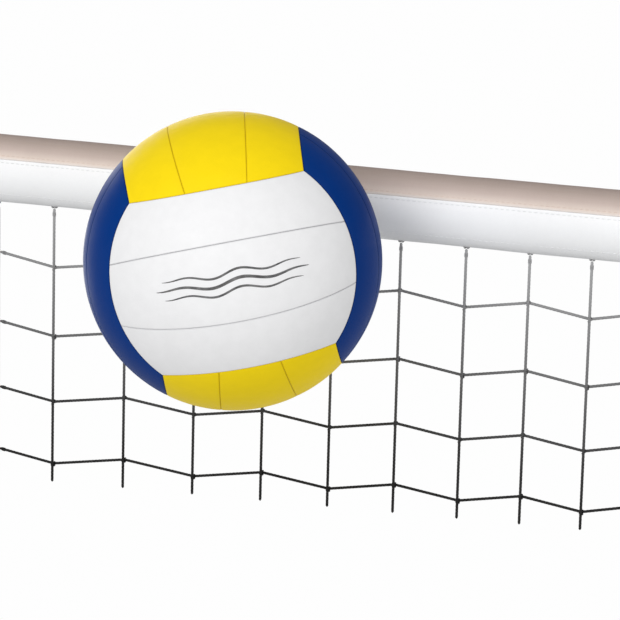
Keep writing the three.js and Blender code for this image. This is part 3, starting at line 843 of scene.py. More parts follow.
@dataclass(frozen=True)
class Finish:
    """A finish: the name of a slot, and how it is painted."""

    name: str
    slot: str
    colour: tuple[float, float, float, float]

    def material(self) -> bpy.types.Material:
        """The finish's material, built once."""
        name = f"looks_{self.name}"
        if name in bpy.data.materials:
            return bpy.data.materials[name]
        made = bpy.data.materials.new(name)
        made.use_nodes = True
        made.node_tree.nodes.clear()
        shade = Shade(made.node_tree)
        shader = shade.node("BsdfPrincipled")
        output = shade.node("OutputMaterial")
        made.node_tree.links.new(shader.outputs[0], output.inputs[0])
        self.paint(shade, shader)
        made.diffuse_color = self.colour
        return made

    def paint(self, shade: Shade, shader: bpy.types.Node) -> None:
        """Connects the finish's own nodes; each kind of finish has its own."""
        raise NotImplementedError

    @staticmethod
    def connect(shade: Shade, shader: bpy.types.Node, **sockets: object) -> None:
        """Links sockets, or sets constants, on the shader's inputs."""
        for name, value in sockets.items():
            socket = shader.inputs[name.replace("_", " ")]
            if isinstance(value, bpy.types.NodeSocket):
                shade.tree.links.new(value, socket)
            else:
                socket.default_value = value

    @staticmethod
    def place(shade: Shade, flat: bool = False) -> bpy.types.NodeSocket:
        """The object coordinates, or the piece's own flat pattern."""
        if flat:
            return shade.node("UVMap", uv_map="UVMap").outputs[0]
        return shade.node("TexCoord").outputs["Object"]


@dataclass(frozen=True)
class PanelLeather(Finish):
    """A ball panel's synthetic leather: fine grain, rougher and a little dustier close to its seams,
    with painted shade that darkens it along them.
    """

    # seam: the darker colour painted along the panel's edges as shade
    seam: tuple[float, float, float, float]
    grain: float = 0.0011
    gloss: float = 0.4

    def paint(self, shade: Shade, shader: bpy.types.Node) -> None:
        """Colour falls to the seam colour, a painted shade, in the last millimetre; the grain is a
        fine bump.
        """
        place = self.place(shade)
        grain = shade.group(Effects.grain(), Vector=place, Size=self.grain)
        edge = shade.node("Attribute", attribute_name="edge").outputs["Fac"]
        # painted shade: the last millimetre of each panel darkens to the seam colour, as shade along
        # the seams
        near = shade.mapped(edge, 0.0001, 0.001, 1.0, 0.0)
        soil = shade.group(Effects.soil(), Vector=place, Size=0.045,
                           Where=shade.mapped(edge, 0.0, 0.012, 0.55, 0.36))
        faded = tuple(min(1.0, 1.03 * share) for share in self.colour)
        tone = shade.blend(shade.mapped(grain.outputs["Tone"], 0.35, 0.65), self.colour, faded)
        dust = shade.math("MULTIPLY", soil.outputs[0], 0.012)
        dusty = shade.blend(dust, tone, rgb(176, 166, 148))
        colour = shade.blend(shade.math("MULTIPLY", near, 0.85), dusty, self.seam)
        rough = shade.mapped(soil.outputs[0], 0.0, 1.0, self.gloss, self.gloss + 0.1)
        self.connect(shade, shader, Base_Color=colour, Roughness=rough,
                     Normal=shade.bump(grain.outputs["Height"], 0.00007, 0.7),
                     Specular_IOR_Level=0.1, IOR=1.25)


@dataclass(frozen=True)
class Cloth(Finish):
    """A woven or coated cloth whose colour changes with height, which paints shade on the two covers.

    Attributes:
        stops: Heights in metres, rising, and the colour at each. On the tan and white covers
        they are painted shade, darkest at the tan cover's top and the white cover's bottom
        and lightest where the covers meet; on the webbing they only darken it downwards.
        thread: The distance between threads.
        relief: How deep the weave is.
        rough: Its roughness.
        sheen: How much it shines at a low angle.
    """

    stops: tuple[tuple[float, tuple[float, float, float, float]], ...]
    thread: float = 0.0006
    relief: float = 0.00012
    rough: float = 0.8
    sheen: float = 0.04
    dirt: float = 0.1

    def paint(self, shade: Shade, shader: bpy.types.Node) -> None:
        """Weave follows the piece's flat pattern; the colour follows the height on the object, as
        painted shade on the covers, and the weave's hollows are painted darker as shade.
        """
        place = self.place(shade)
        weave = shade.group(Effects.weave(), Vector=self.place(shade, True), Thread=self.thread)
        height = shade.node("SeparateXYZ", {0: place}).outputs[2]
        low, high = self.stops[0][0], self.stops[-1][0]
        # painted shade by height: the stops darken the tan cover towards its top and the white cover
        # towards its bottom
        ramp = shade.ramp(shade.mapped(height, low, high),
                          [((z - low) / (high - low), colour) for z, colour in self.stops])
        soil = shade.group(Effects.soil(), Vector=place, Size=0.06, Where=0.45)
        fleck = shade.mapped(weave.outputs["Fleck"], 0.3, 0.7)
        pale = shade.blend(shade.math("MULTIPLY", fleck, 0.04), ramp, rgb(255, 255, 255))
        # painted shade in the weave's hollows between the threads
        hollow_shade = shade.blend(shade.mapped(weave.outputs["Height"], 0.0, 0.45, 0.16, 0.0), pale,
                            rgb(96, 88, 80))
        dirty = shade.blend(shade.math("MULTIPLY", soil.outputs[0], self.dirt), hollow_shade,
                            rgb(134, 122, 106))
        self.connect(shade, shader, Base_Color=dirty,
                     Roughness=shade.mapped(soil.outputs[0], 0, 1, self.rough, self.rough + 0.1),
                     Normal=shade.bump(weave.outputs["Height"], self.relief, 0.6),
                     Sheen_Weight=self.sheen, Specular_IOR_Level=0.3)


@dataclass(frozen=True)
class Twine(Finish):
    """Net twine: fibres that run with the twist, and a tone for each height."""

    stops: tuple[tuple[float, tuple[float, float, float, float]], ...]
    rough: float = 0.75

    def paint(self, shade: Shade, shader: bpy.types.Node) -> None:
        """Fine fibres follow the twine's own pattern; the tone follows the height."""
        place = self.place(shade)
        height = shade.node("SeparateXYZ", {0: place}).outputs[2]
        low, high = self.stops[0][0], self.stops[-1][0]
        ramp = shade.ramp(shade.mapped(height, low, high),
                          [((z - low) / (high - low), colour) for z, colour in self.stops])
        slant = shade.node("Mapping", {"Vector": self.place(shade, True),
                                       "Rotation": (0.0, 0.0, 0.6), "Scale": (9000.0, 900.0, 1.0)})
        fibre = shade.noise(slant.outputs[0], 1.0, 2.0)
        shaded = shade.blend(shade.mapped(fibre, 0.35, 0.65, 0.0, 0.05), ramp, rgb(205, 203, 200))
        soil = shade.group(Effects.soil(), Vector=place, Size=0.03, Where=0.45)
        dust = shade.math("MULTIPLY", soil.outputs[0], 0.03)
        colour = shade.blend(dust, shaded, rgb(120, 108, 92))
        self.connect(shade, shader, Base_Color=colour, Roughness=self.rough,
                     Normal=shade.bump(fibre, 0.00008, 0.6), Specular_IOR_Level=0.15)


@dataclass(frozen=True)
class Metal(Finish):
    """A metal with fine scratches and dull patches."""

    dull: tuple[float, float, float, float]
    rough: float = 0.28

    def paint(self, shade: Shade, shader: bpy.types.Node) -> None:
        """Scratches lighten and roughen it; dull patches gather in slow clouds."""
        place = self.place(shade)
        scuffs = shade.group(Effects.scuffs(), Vector=place).outputs[0]
        soil = shade.group(Effects.soil(), Vector=place, Size=0.012, Where=0.42).outputs[0]
        colour = shade.blend(shade.math("MULTIPLY", soil, 0.6), self.colour, self.dull)
        worn = shade.math("ADD", shade.math("MULTIPLY", scuffs, 0.1),
                          shade.math("MULTIPLY", soil, 0.18))
        self.connect(shade, shader, Base_Color=colour, Metallic=1.0,
                     Roughness=shade.math("ADD", worn, self.rough),
                     Normal=shade.bump(scuffs, 0.00002, 0.4))


@dataclass(frozen=True)
class Moulded(Finish):
    """Rubber, foam, cast glass fibre and other plain bodies: a fine pitted grain with dust."""

    grain: float = 0.0008
    relief: float = 0.00006
    rough: float = 0.6
    dust: float = 0.12
    stretch: float = 1.0

    def paint(self, shade: Shade, shader: bpy.types.Node) -> None:
        """The grain may be drawn out along Z, as fibres are in a rod."""
        place = self.place(shade)
        drawn = shade.node("Mapping", {"Vector": place, "Scale": (1.0, 1.0, 1 / self.stretch)})
        grain = shade.group(Effects.grain(), Vector=drawn.outputs[0], Size=self.grain)
        soil = shade.group(Effects.soil(), Vector=place, Size=0.02, Where=0.45).outputs[0]
        lighter = shade.blend(0.14, self.colour, rgb(255, 255, 255))
        tone = shade.blend(shade.mapped(grain.outputs["Tone"], 0.3, 0.7), self.colour, lighter)
        colour = shade.blend(shade.math("MULTIPLY", soil, self.dust), tone, rgb(150, 140, 124))
        self.connect(shade, shader, Base_Color=colour,
                     Roughness=shade.mapped(soil, 0, 1, self.rough, self.rough + 0.15),
                     Normal=shade.bump(grain.outputs["Height"], self.relief, 0.7))


INK = Moulded("wave_ink", "ball_white", rgb(52, 52, 54), rough=0.5, relief=0.00002)
CARCASS = Moulded("carcass_cloth", "carcass_cloth", rgb(176, 170, 158), rough=0.85)
RUBBER = Moulded("black_rubber", "bladder_rubber", rgb(38, 38, 40), rough=0.6)
VALVE = Moulded("valve_rubber", "valve_rubber", rgb(26, 26, 28), grain=0.0004, rough=0.5)
FOAM = Moulded("foam", "foam", rgb(186, 186, 188), grain=0.0007, relief=0.0003, rough=0.95)
ROD = Moulded("glass_fibre", "dowel_rod", rgb(222, 220, 208), grain=0.0005, rough=0.35, stretch=24)
TAN_THREAD = Moulded("tan_thread", "tan_canvas", rgb(214, 194, 182), grain=0.0003, rough=0.8)
WHITE_THREAD = Moulded("white_thread", "white_vinyl", rgb(226, 227, 228), grain=0.0003, rough=0.8)
TAPE_THREAD = Moulded("tape_thread", "webbing", rgb(206, 205, 198), grain=0.0003, rough=0.8)
STEEL = Metal("polished_steel", "hook_steel", rgb(196, 199, 203), rgb(138, 140, 143))
PIN_STEEL = Metal("pin_steel", "hook_steel", rgb(176, 179, 183), rgb(112, 114, 118), rough=0.22)
ZINC = Metal("galvanised_wire", "cable_steel", rgb(170, 174, 179), rgb(112, 115, 119), rough=0.38)
BRASS = Metal("brass", "brass", rgb(196, 158, 88), rgb(128, 98, 54), rough=0.3)
# painted shade: lightest where the covers meet, darker towards the top
TAN = Cloth("tan_canvas", "tan_canvas", rgb(208, 180, 166), (
    (0.0090, rgb(243, 235, 230)), (0.0115, rgb(231, 215, 204)), (0.0170, rgb(200, 182, 173)),
    (0.0225, rgb(176, 159, 150)), (0.0266, rgb(164, 147, 139)),
), thread=0.0007)
# painted shade: lightest where the covers meet, darker towards the bottom
VINYL = Cloth("white_vinyl", "white_vinyl", rgb(236, 238, 238), (
    (-0.0266, rgb(222, 223, 224)), (-0.0150, rgb(238, 239, 240)),
    (-0.0020, rgb(247, 248, 249)), (0.0100, rgb(252, 252, 253)),
), thread=0.0009, relief=0.00006, rough=0.5, sheen=0.02, dirt=0.06)
TAPE = Cloth("webbing", "webbing", rgb(228, 228, 223), (
    (-0.2500, rgb(214, 213, 207)), (-0.0300, rgb(234, 234, 230)),
), thread=0.0011, relief=0.0003, rough=0.8)
TWINE = Twine("net_twine", "net_cord", rgb(74, 74, 76), (
    (-0.2450, rgb(6, 6, 7)), (-0.2120, rgb(16, 16, 17)), (-0.1780, rgb(46, 46, 47)),
    (-0.1480, rgb(84, 84, 85)), (-0.1050, rgb(114, 114, 115)), (-0.0650, rgb(142, 142, 143)),
    (-0.0260, rgb(166, 166, 167)),
))


# ---------------------------------------------------------------- the ball


@dataclass(frozen=True)
class Group:
    """Three strips side by side: which way they face, run and stack, and their leather."""

    name: str
    normal: tuple[int, int, int]
    along: tuple[int, int, int]
    across: tuple[int, int, int]
    finish: PanelLeather


# The seam colours are painted shade along the panels' seams.
YELLOW = PanelLeather("yellow_leather", "ball_yellow", rgb(242, 212, 22), seam=rgb(224, 194, 18))
WHITE = PanelLeather("white_leather", "ball_white", rgb(229, 229, 230), seam=rgb(202, 202, 204))
BLUE = PanelLeather("blue_leather", "ball_blue", rgb(0, 50, 122), seam=rgb(0, 33, 84))
GROUPS = (
    Group("front", (0, -1, 0), (1, 0, 0), (0, 0, 1), WHITE),
    Group("back", (0, 1, 0), (-1, 0, 0), (0, 0, 1), WHITE),
    Group("top", (0, 0, 1), (0, 1, 0), (-1, 0, 0), YELLOW),
    Group("bottom", (0, 0, -1), (0, 1, 0), (1, 0, 0), YELLOW),
    Group("right", (1, 0, 0), (0, 0, 1), (0, -1, 0), BLUE),
    Group("left", (-1, 0, 0), (0, 0, 1), (0, 1, 0), BLUE),
)


@dataclass
class Ball:
    """Eighteen leather strips over a cloth carcass, a bladder and a valve.

    Attributes:
        pitch, roll, yaw: How the ball is turned, in degrees about X, Y and Z.
        bulge: How far a group's edge pushes into its neighbour, in degrees.
        waist: Half the middle strip's width at its waist, in degrees.
        gap: The slit between two strips.
        edge: The radius of a strip's rolled edge.
        pucker: How deep the stitched edge is drawn in.
    """

    diameter: float = 0.211
    thickness: float = 0.0014
    gap: float = 0.00012
    edge: float = 0.00045
    pucker: float = 0.00016
    pitch: float = -3.84
    roll: float = -11.8
    yaw: float = 21.63
    bulge: float = 8.5
    waist: float = 15.1
    valve_radius: float = 0.0035
    near: tuple[float, ...] = (0, 0.00008, 0.0002, 0.00035, 0.00055, 0.0009, 0.0015, 0.0028)
    centre: Array = field(init=False)
    turn: Array = field(init=False)

    def __post_init__(self) -> None:
        """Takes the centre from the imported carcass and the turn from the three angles."""
        low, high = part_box("carcass")
        self.centre = np.array((low + high) / 2)
        a, b, c = (math.radians(angle) for angle in (self.pitch, self.roll, self.yaw))
        about_x = [[1, 0, 0], [0, math.cos(a), -math.sin(a)], [0, math.sin(a), math.cos(a)]]
        about_y = [[math.cos(b), 0, math.sin(b)], [0, 1, 0], [-math.sin(b), 0, math.cos(b)]]
        about_z = [[math.cos(c), -math.sin(c), 0], [math.sin(c), math.cos(c), 0], [0, 0, 1]]
        self.turn = np.array(about_z) @ np.array(about_x) @ np.array(about_y)

    @property
    def radius(self) -> float:
        """The ball's radius."""
        return self.diameter / 2

    def end_longitude(self, latitude: Array) -> Array:
        """A group's end at a latitude: 45 degrees plus the bulge times 1 - 2 tan^2."""
        return np.radians(45 + self.bulge * (1 - 2 * np.tan(latitude) ** 2))

    def line(self, index: int, p: Array) -> tuple[Array, Array]:
        """One of the four lines that bound a group's strips.

        Args:
            index: From 0, the lowest, to 3.
            p: Places along it, -1 to 1.

        Returns:
            Its longitudes and latitudes, in radians.
        """
        sign = -1 if index < 2 else 1
        if index in (0, 3):
            lean = np.radians(45 + self.bulge * (1 - p**2))
            sideways = p * math.sqrt(0.5)
            level = np.hypot(np.sin(lean), sideways)
            return np.arctan2(sideways, np.sin(lean)), sign * np.arctan2(np.cos(lean), level)
        end = math.atan(math.sqrt(0.5)) / 3
        latitude = end + (math.radians(self.waist) - end) * (1 - p**2)
        return self.end_longitude(end) * p, sign * latitude

    def facing(self, group: Group, longitude: Array, latitude: Array) -> Array:
        """Directions: cos b cos a * normal + cos b sin a * along + sin b * across, turned.

        Args:
            group: The panel group that they belong to.
            longitude: The angles a.
            latitude: The angles b.

        Returns:
            The directions.
        """
        n, u, w = (np.array(v, float) for v in (group.normal, group.along, group.across))
        a, b = longitude[..., None], latitude[..., None]
        flat = np.cos(b) * np.cos(a) * n + np.cos(b) * np.sin(a) * u + np.sin(b) * w
        return flat @ self.turn.T

    def strip(self, group: Group, strip: int) -> Array:
        """The directions over one strip, on a grid that is fine close to its edges.

        Args:
            group: The strip's group.
            strip: 0 to 2 across the group.

        Returns:
            Directions, rows along the strip by columns across it.
        """
        p = 2 * clustered(0.17, 44, self.near)[:, None] - 1
        share = clustered(0.05, 12, self.near)[None, :]
        inset = self.gap / 2 / self.radius

        def blend(at: Array) -> tuple[Array, Array]:
            """Longitude and latitude between the strip's two lines."""
            low, high = self.line(strip, at), self.line(strip + 1, at)
            latitude = low[1] + inset + (high[1] - low[1] - 2 * inset) * share
            return low[0] + (high[0] - low[0]) * share, latitude

        end_line, end_latitude = blend(np.ones((1, 1)))
        line, latitude = blend(p)
        longitude = line * (self.end_longitude(end_latitude) - inset) / end_line
        return self.facing(group, longitude, latitude)

    def panel(self, group: Group, strip: int) -> Surface:
        """A strip's shell, with rolled edges that its stitching draws in.

        At a distance d from the edge the face is lower by e - sqrt(e^2 - (e - d)^2) inside
        the rolled edge e, and by the pucker times exp(-d / 3 mm).

        Args:
            group: The strip's group.
            strip: 0 to 2 across the group.

        Returns:
            The shell; its points carry their distance from the strip's edge.
        """
        ways = self.strip(group, strip)
        distance = np.full(ways.shape[:2], 1.0)
        for axis in (0, 1):
            step = np.linalg.norm(np.diff(ways, axis=axis), axis=2) * self.radius
            start = np.zeros_like(np.take(step, [0], axis))
            run = np.concatenate([start, np.cumsum(step, axis)], axis)
            distance = np.minimum(distance, np.minimum(run, np.take(run, [-1], axis) - run))
        inside = np.clip(self.edge - distance, 0, self.edge)
        fall = self.edge - np.sqrt(self.edge**2 - inside**2)
        fall += self.pucker * np.exp(-distance / 0.003)
        faces = []
        for reach in (self.radius - fall, np.full_like(fall, self.radius - self.thickness)):
            points = self.centre + ways * reach[..., None]
            faces.append(np.concatenate([points, distance[..., None]], -1))
        return shell(*faces)

    def hollow(self, radius: float, wall: float, hole: float) -> Surface:
        """A hollow ball: a profile turned about the valve's axis, open at the valve.

        Args:
            radius: The outer radius.
            wall: The wall's thickness.
            hole: The radius of the opening.

        Returns:
            The closed wall.
        """
        t = np.linspace(math.asin(hole / radius), math.pi, 72)
        outer = np.stack([np.cos(t), np.sin(t)], -1) * radius
        inner = np.stack([np.cos(t), np.sin(t)], -1)[::-1] * (radius - wall)
        profile = np.concatenate([outer, inner])
        profile[[71, 72], 1] = 0
        return grid(lathe(profile, self.axis, self.centre, 96), True, True)

    @property
    def axis(self) -> Array:
        """The valve's axis, the ball's own +Y."""
        return self.turn @ np.array([0.0, 1, 0])

    def valve(self) -> Surface:
        """The valve: a flange inside the bladder, a stem and a rounded mouth with a hole."""
        low, high = 0.0992, self.radius - 0.0002
        profile = np.array([
            [low - 0.0016, 0.0008], [low - 0.0016, 0.0078], [low - 0.0013, 0.008],
            [low - 0.0003, 0.008], [low, 0.0077], [low, 0.0038], [low + 0.0004, 0.0034],
            [high - 0.0008, 0.0033], [high - 0.0003, 0.0031], [high, 0.0026], [high, 0.0016],
            [high - 0.0003, 0.0012], [high - 0.0012, 0.0008],
        ])
        return grid(lathe(profile, self.axis, self.centre, 40), True, True)

    def wave(self, step: int) -> Surface:
        """A printed wave on the middle front strip: a sine that tapers to both ends.

        Args:
            step: -1, 0 or 1, for the lowest, middle or highest of three waves.

        Returns:
            The ink's thin shell.
        """
        s = np.linspace(-1, 1, 120)[:, None]
        reach = math.radians(30 - 3 * abs(step))
        bend = 0.022 * np.sin(s * math.pi * 2.5 + 0.6) * (1 - s**2)
        middle = math.radians(step * 3.4 + 0.5) + bend
        half = (0.0011 - 0.0003 * abs(step)) / self.radius * np.sqrt(1.0001 - s**2)
        share = np.linspace(-1, 1, 5)[None, :]
        ways = self.facing(GROUPS[0], s * reach + 0 * share, middle + half * share)
        return shell(self.centre + ways * (self.radius + 0.00006),
                     self.centre + ways * (self.radius - 0.00015))

    def build(self) -> None:
        """Builds the panels, the carcass, the valve and the printed waves."""
        for group in GROUPS:
            for strip, letter in enumerate("abc"):
                node = f"{group.name}_panel_{letter}"
                made = piece(f"{node}_leather", self.panel(group, strip), group.finish, Body.BALL,
                             replaces=[node], values=["edge"], smooth=60)
                if node == "back_panel_b":
                    middle = self.centre + self.axis * (self.radius - self.thickness / 2)
                    bored(made, middle, self.axis, self.valve_radius + 0.0003)
        under = self.radius - self.thickness - 0.0003
        piece("carcass_shell", self.hollow(under, 0.0008, self.valve_radius + 0.0003), CARCASS,
              Body.BALL, replaces=["carcass"])
        bladder = self.hollow(under - 0.002, 0.0006, self.valve_radius + 0.0003)
        piece("bladder_shell", bladder, RUBBER, Body.BALL, replaces=["bladder"])
        piece("valve_stem", self.valve(), VALVE, Body.BALL, replaces=["valve"])
        piece("wave_print", joined(self.wave(step) for step in (-1, 0, 1)), INK, Body.BALL)


# ---------------------------------------------------------------- the padded band


@dataclass
class PaddedBand:
    """The foam core, its two sewn covers and their end caps.

    Attributes:
        cover: The covers' thickness.
        seam: How high above the cable the two covers meet.
        gap: The space between the covers' edges.
        pitch: The distance from one stitch to the next.
        tan_width: The flat width that the upper cover is cut to.
        white_width: The flat width that the lower cover is cut to.
    """

    length: float = 0.576
    height: float = 0.053
    depth: float = 0.030
    cover: float = 0.0013
    seam: float = 0.0096
    gap: float = 0.0002
    pitch: float = 0.0042
    bore: float = 0.0025
    hem_bore: float = 0.0018
    tan_width: float = 0.0463
    white_width: float = 0.0838

    def profile(self, angle: Array, shrink: Array | float) -> Array:
        """The band's outline in (Y, Z) at polar angles, drawn in by a depth."""
        half_depth, half_height = self.depth / 2 - shrink, self.height / 2 - shrink
        return np.stack([half_depth * np.cos(angle), half_height * np.sin(angle)], -1)

    def softness(self, x: Array, angle: Array) -> Array:
        """How far the cover lies below its outline: slow ripples of the foam underneath.

        Args:
            x: Places along the band.
            angle: Polar angles round it.

        Returns:
            The depths.
        """
        slow = np.sin(x * 41 + 1.3 * np.sin(angle * 2)) * np.sin(x * 17.3 + angle * 1.7 + 0.8)
        quick = np.sin(x * 143 + 2.2 * angle) * np.sin(angle * 3 + x * 29)
        return 0.00017 * (1 + slow) + 0.00006 * (1 + quick)

    def covered(self, upper: bool) -> Surface:
        """One cover: the outline from seam to seam, drawn in along its stitched edges.

        Args:
            upper: Whether it is the tan cover over the top.

        Returns:
            The cover's shell.
        """
        edge = self.seam + (self.gap / 2 if upper else -self.gap / 2)
        start = math.asin(edge / (self.height / 2))
        low, high = (start, math.pi - start) if upper else (math.pi - start, TURN + start)
        length = self.tan_width if upper else self.white_width
        near = (0, 0.0002, 0.0005, 0.001, 0.0017, 0.0026, 0.004)
        share = clustered(length, 24 if upper else 44, near)[None, :]
        angle = low + (high - low) * share
        x = np.linspace(-self.length / 2, self.length / 2, 481)[:, None]
        distance = np.minimum(share, 1 - share) * length
        drawn = 0.00022 * np.exp(-((distance - 0.0024) / 0.0008) ** 2)
        drawn = drawn * (1 + 0.5 * np.cos(x / self.pitch * TURN))
        roll = 0.0005 * (1 - ease(distance / 0.0007))
        fall = self.softness(x, angle) * ease(distance / 0.004) + drawn + roll
        grids = []
        for shrink in (fall, fall * 0.3 + self.cover):
            yz = self.profile(angle + 0 * x, shrink)
            grids.append(np.concatenate([(x + 0 * angle)[..., None], yz], -1))
        return shell(*grids)

    def core(self) -> Surface:
        """The foam: slit from below so that it closes round the cable and the hem line.

        Its inner line runs up the slit, round both bores and down again.

        Returns:
            The closed foam.
        """
        shrink, slit = self.cover + 0.0003, 0.0004
        hem = np.array(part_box("hem_line")).mean(0)[2]
        bottom = -(self.height / 2 - shrink)
        start = math.asin(slit / (self.depth / 2 - shrink))
        angle = np.linspace(start - math.pi / 2, 1.5 * math.pi - start, 121)
        outer = self.profile(angle, shrink)
        halves = []
        for radius, middle in ((self.hem_bore, hem), (self.bore, 0.0)):
            open_half = math.asin(slit / radius)
            top = math.pi / 2 - (open_half if middle else 0)
            t = np.linspace(open_half - math.pi / 2, top, 24)
            halves.append(np.stack([radius * np.cos(t), middle + radius * np.sin(t)], -1))
        right = np.concatenate([[[slit, bottom]], *halves])
        path = np.concatenate([right, (right * [-1, 1])[::-1]])
        flat = np.concatenate([path, np.zeros((len(path), 1))], 1)
        inner = along(flat, count=120)[:, :2]
        x = np.linspace(-self.length / 2, self.length / 2, 61)[:, None, None]

        def drawn_out(yz: Array) -> Array:
            """A (Y, Z) line carried along X."""
            return np.concatenate([x + 0 * yz[None, :, :1], yz[None] + 0 * x], -1)

        return shell(drawn_out(outer), drawn_out(inner))

    def seam_stitches(self, height: float, lift: float) -> Surface:
        """Two rows of stitches, front and back, where the outline passes a height."""
        x = np.arange(-self.length / 2 + 0.003, self.length / 2 - 0.002, self.pitch)
        rows = []
        for side in (-1, 1):
            angle = math.asin(height / (self.height / 2))
            y, z = self.profile(np.array(angle), 0.0)
            normal = unit(np.array([0, side * math.cos(angle) / self.depth,
                                    math.sin(angle) / self.height]))
            spots = np.stack([x, 0 * x + side * y, 0 * x + z], -1) + normal * lift
            rows.append(placements(spots, np.array([1.0, 0, 0]), normal))
        return copies(stitch(STITCH_LENGTH, STITCH_RADIUS), np.concatenate(rows))

    def end_cap(self) -> Surface:
        """The end's sewn patch: rings from the cable's bore out to the outline and back.

        Returns:
            The patch, at the +X end.
        """
        t = ring(96)
        low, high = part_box("right_end_cap")
        near, far = low[0], high[0]
        hole = np.stack([np.cos(t), np.sin(t)], -1) * (self.bore + 0.0001)
        rim = self.profile(t, 0.0)
        shares = np.array([0, 0.5, 0.96, 0.985, 1, 1, 0.985, 0.95, 0.86, 0.8, 0.74, 0.5, 0.25, 0.0])
        depth = np.array([0, 0, 0, 0.04, 0.22, 0.62, 0.84, 0.96, 0.98, 0.86, 0.98, 1, 1, 1.0])
        flat = hole + (rim - hole) * shares[:, None, None]
        x = near + (far - near) * depth[:, None, None] + 0 * flat[..., :1]
        return grid(np.concatenate([x, flat], -1), True, True)

    def cap_stitches(self) -> Surface:
        """Stitches in the end cap's sewn groove, an even distance apart round it."""
        t = np.linspace(0, TURN, 400)
        loop = np.stack([0 * t, *(self.profile(t, 0.0).T * 0.8)], -1)
        spots = along(loop, step=self.pitch)[:-1]
        heading = np.roll(spots, -1, 0) - np.roll(spots, 1, 0)
        spots[:, 0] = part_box("right_end_cap")[1][0] - 0.00035
        return copies(stitch(0.003, STITCH_RADIUS), placements(spots, heading, np.array([1.0, 0, 0])))

    def eyelet(self) -> Surface:
        """A brass eyelet where the cable leaves the end cap: a half-round ring."""
        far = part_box("right_end_cap")[1][0]
        t = np.linspace(0, math.pi, 9)
        profile = np.stack([far - 0.0004 + 0.0012 * np.sin(t), 0.0036 - 0.001 * np.cos(t)], -1)
        return grid(lathe(profile, (1, 0, 0), (0, 0, 0), 40), True, True)

    def build(self) -> None:
        """Builds the band's pieces, and gives the imported hem line the twine's finish."""
        core = piece("foam_pad", self.core(), FOAM, Body.BAND, replaces=["foam_core"])
        for name, heights, lift, finish in (
            ("tan_seam_stitches", (self.seam + 0.0026,), -0.0003, TAN_THREAD),
            ("white_seam_stitches", (self.seam - 0.0026, -0.0185), -0.0003, WHITE_THREAD),
        ):
            rows = joined(self.seam_stitches(height, lift) for height in heights)
            piece(name, rows, finish, Body.BAND)
        tan = piece("tan_cover", self.covered(True), TAN, Body.BAND, replaces=["upper_cover"])
        white = piece("white_cover", self.covered(False), VINYL, Body.BAND,
                      replaces=["lower_cover"])
        for end in End:
            piece(f"{end.label}_cap_patch", toward(end, self.end_cap()), VINYL, Body.BAND,
                  replaces=[f"{end.label}_end_cap"])
            piece(f"{end.label}_cap_stitches", toward(end, self.cap_stitches()), WHITE_THREAD,
                  Body.BAND)
            piece(f"{end.label}_cable_eyelet", toward(end, self.eyelet()), BRASS, Body.BAND)
        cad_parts["hem_line"].data.materials.clear()
        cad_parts["hem_line"].data.materials.append(TWINE.material())


# ---------------------------------------------------------------- the net


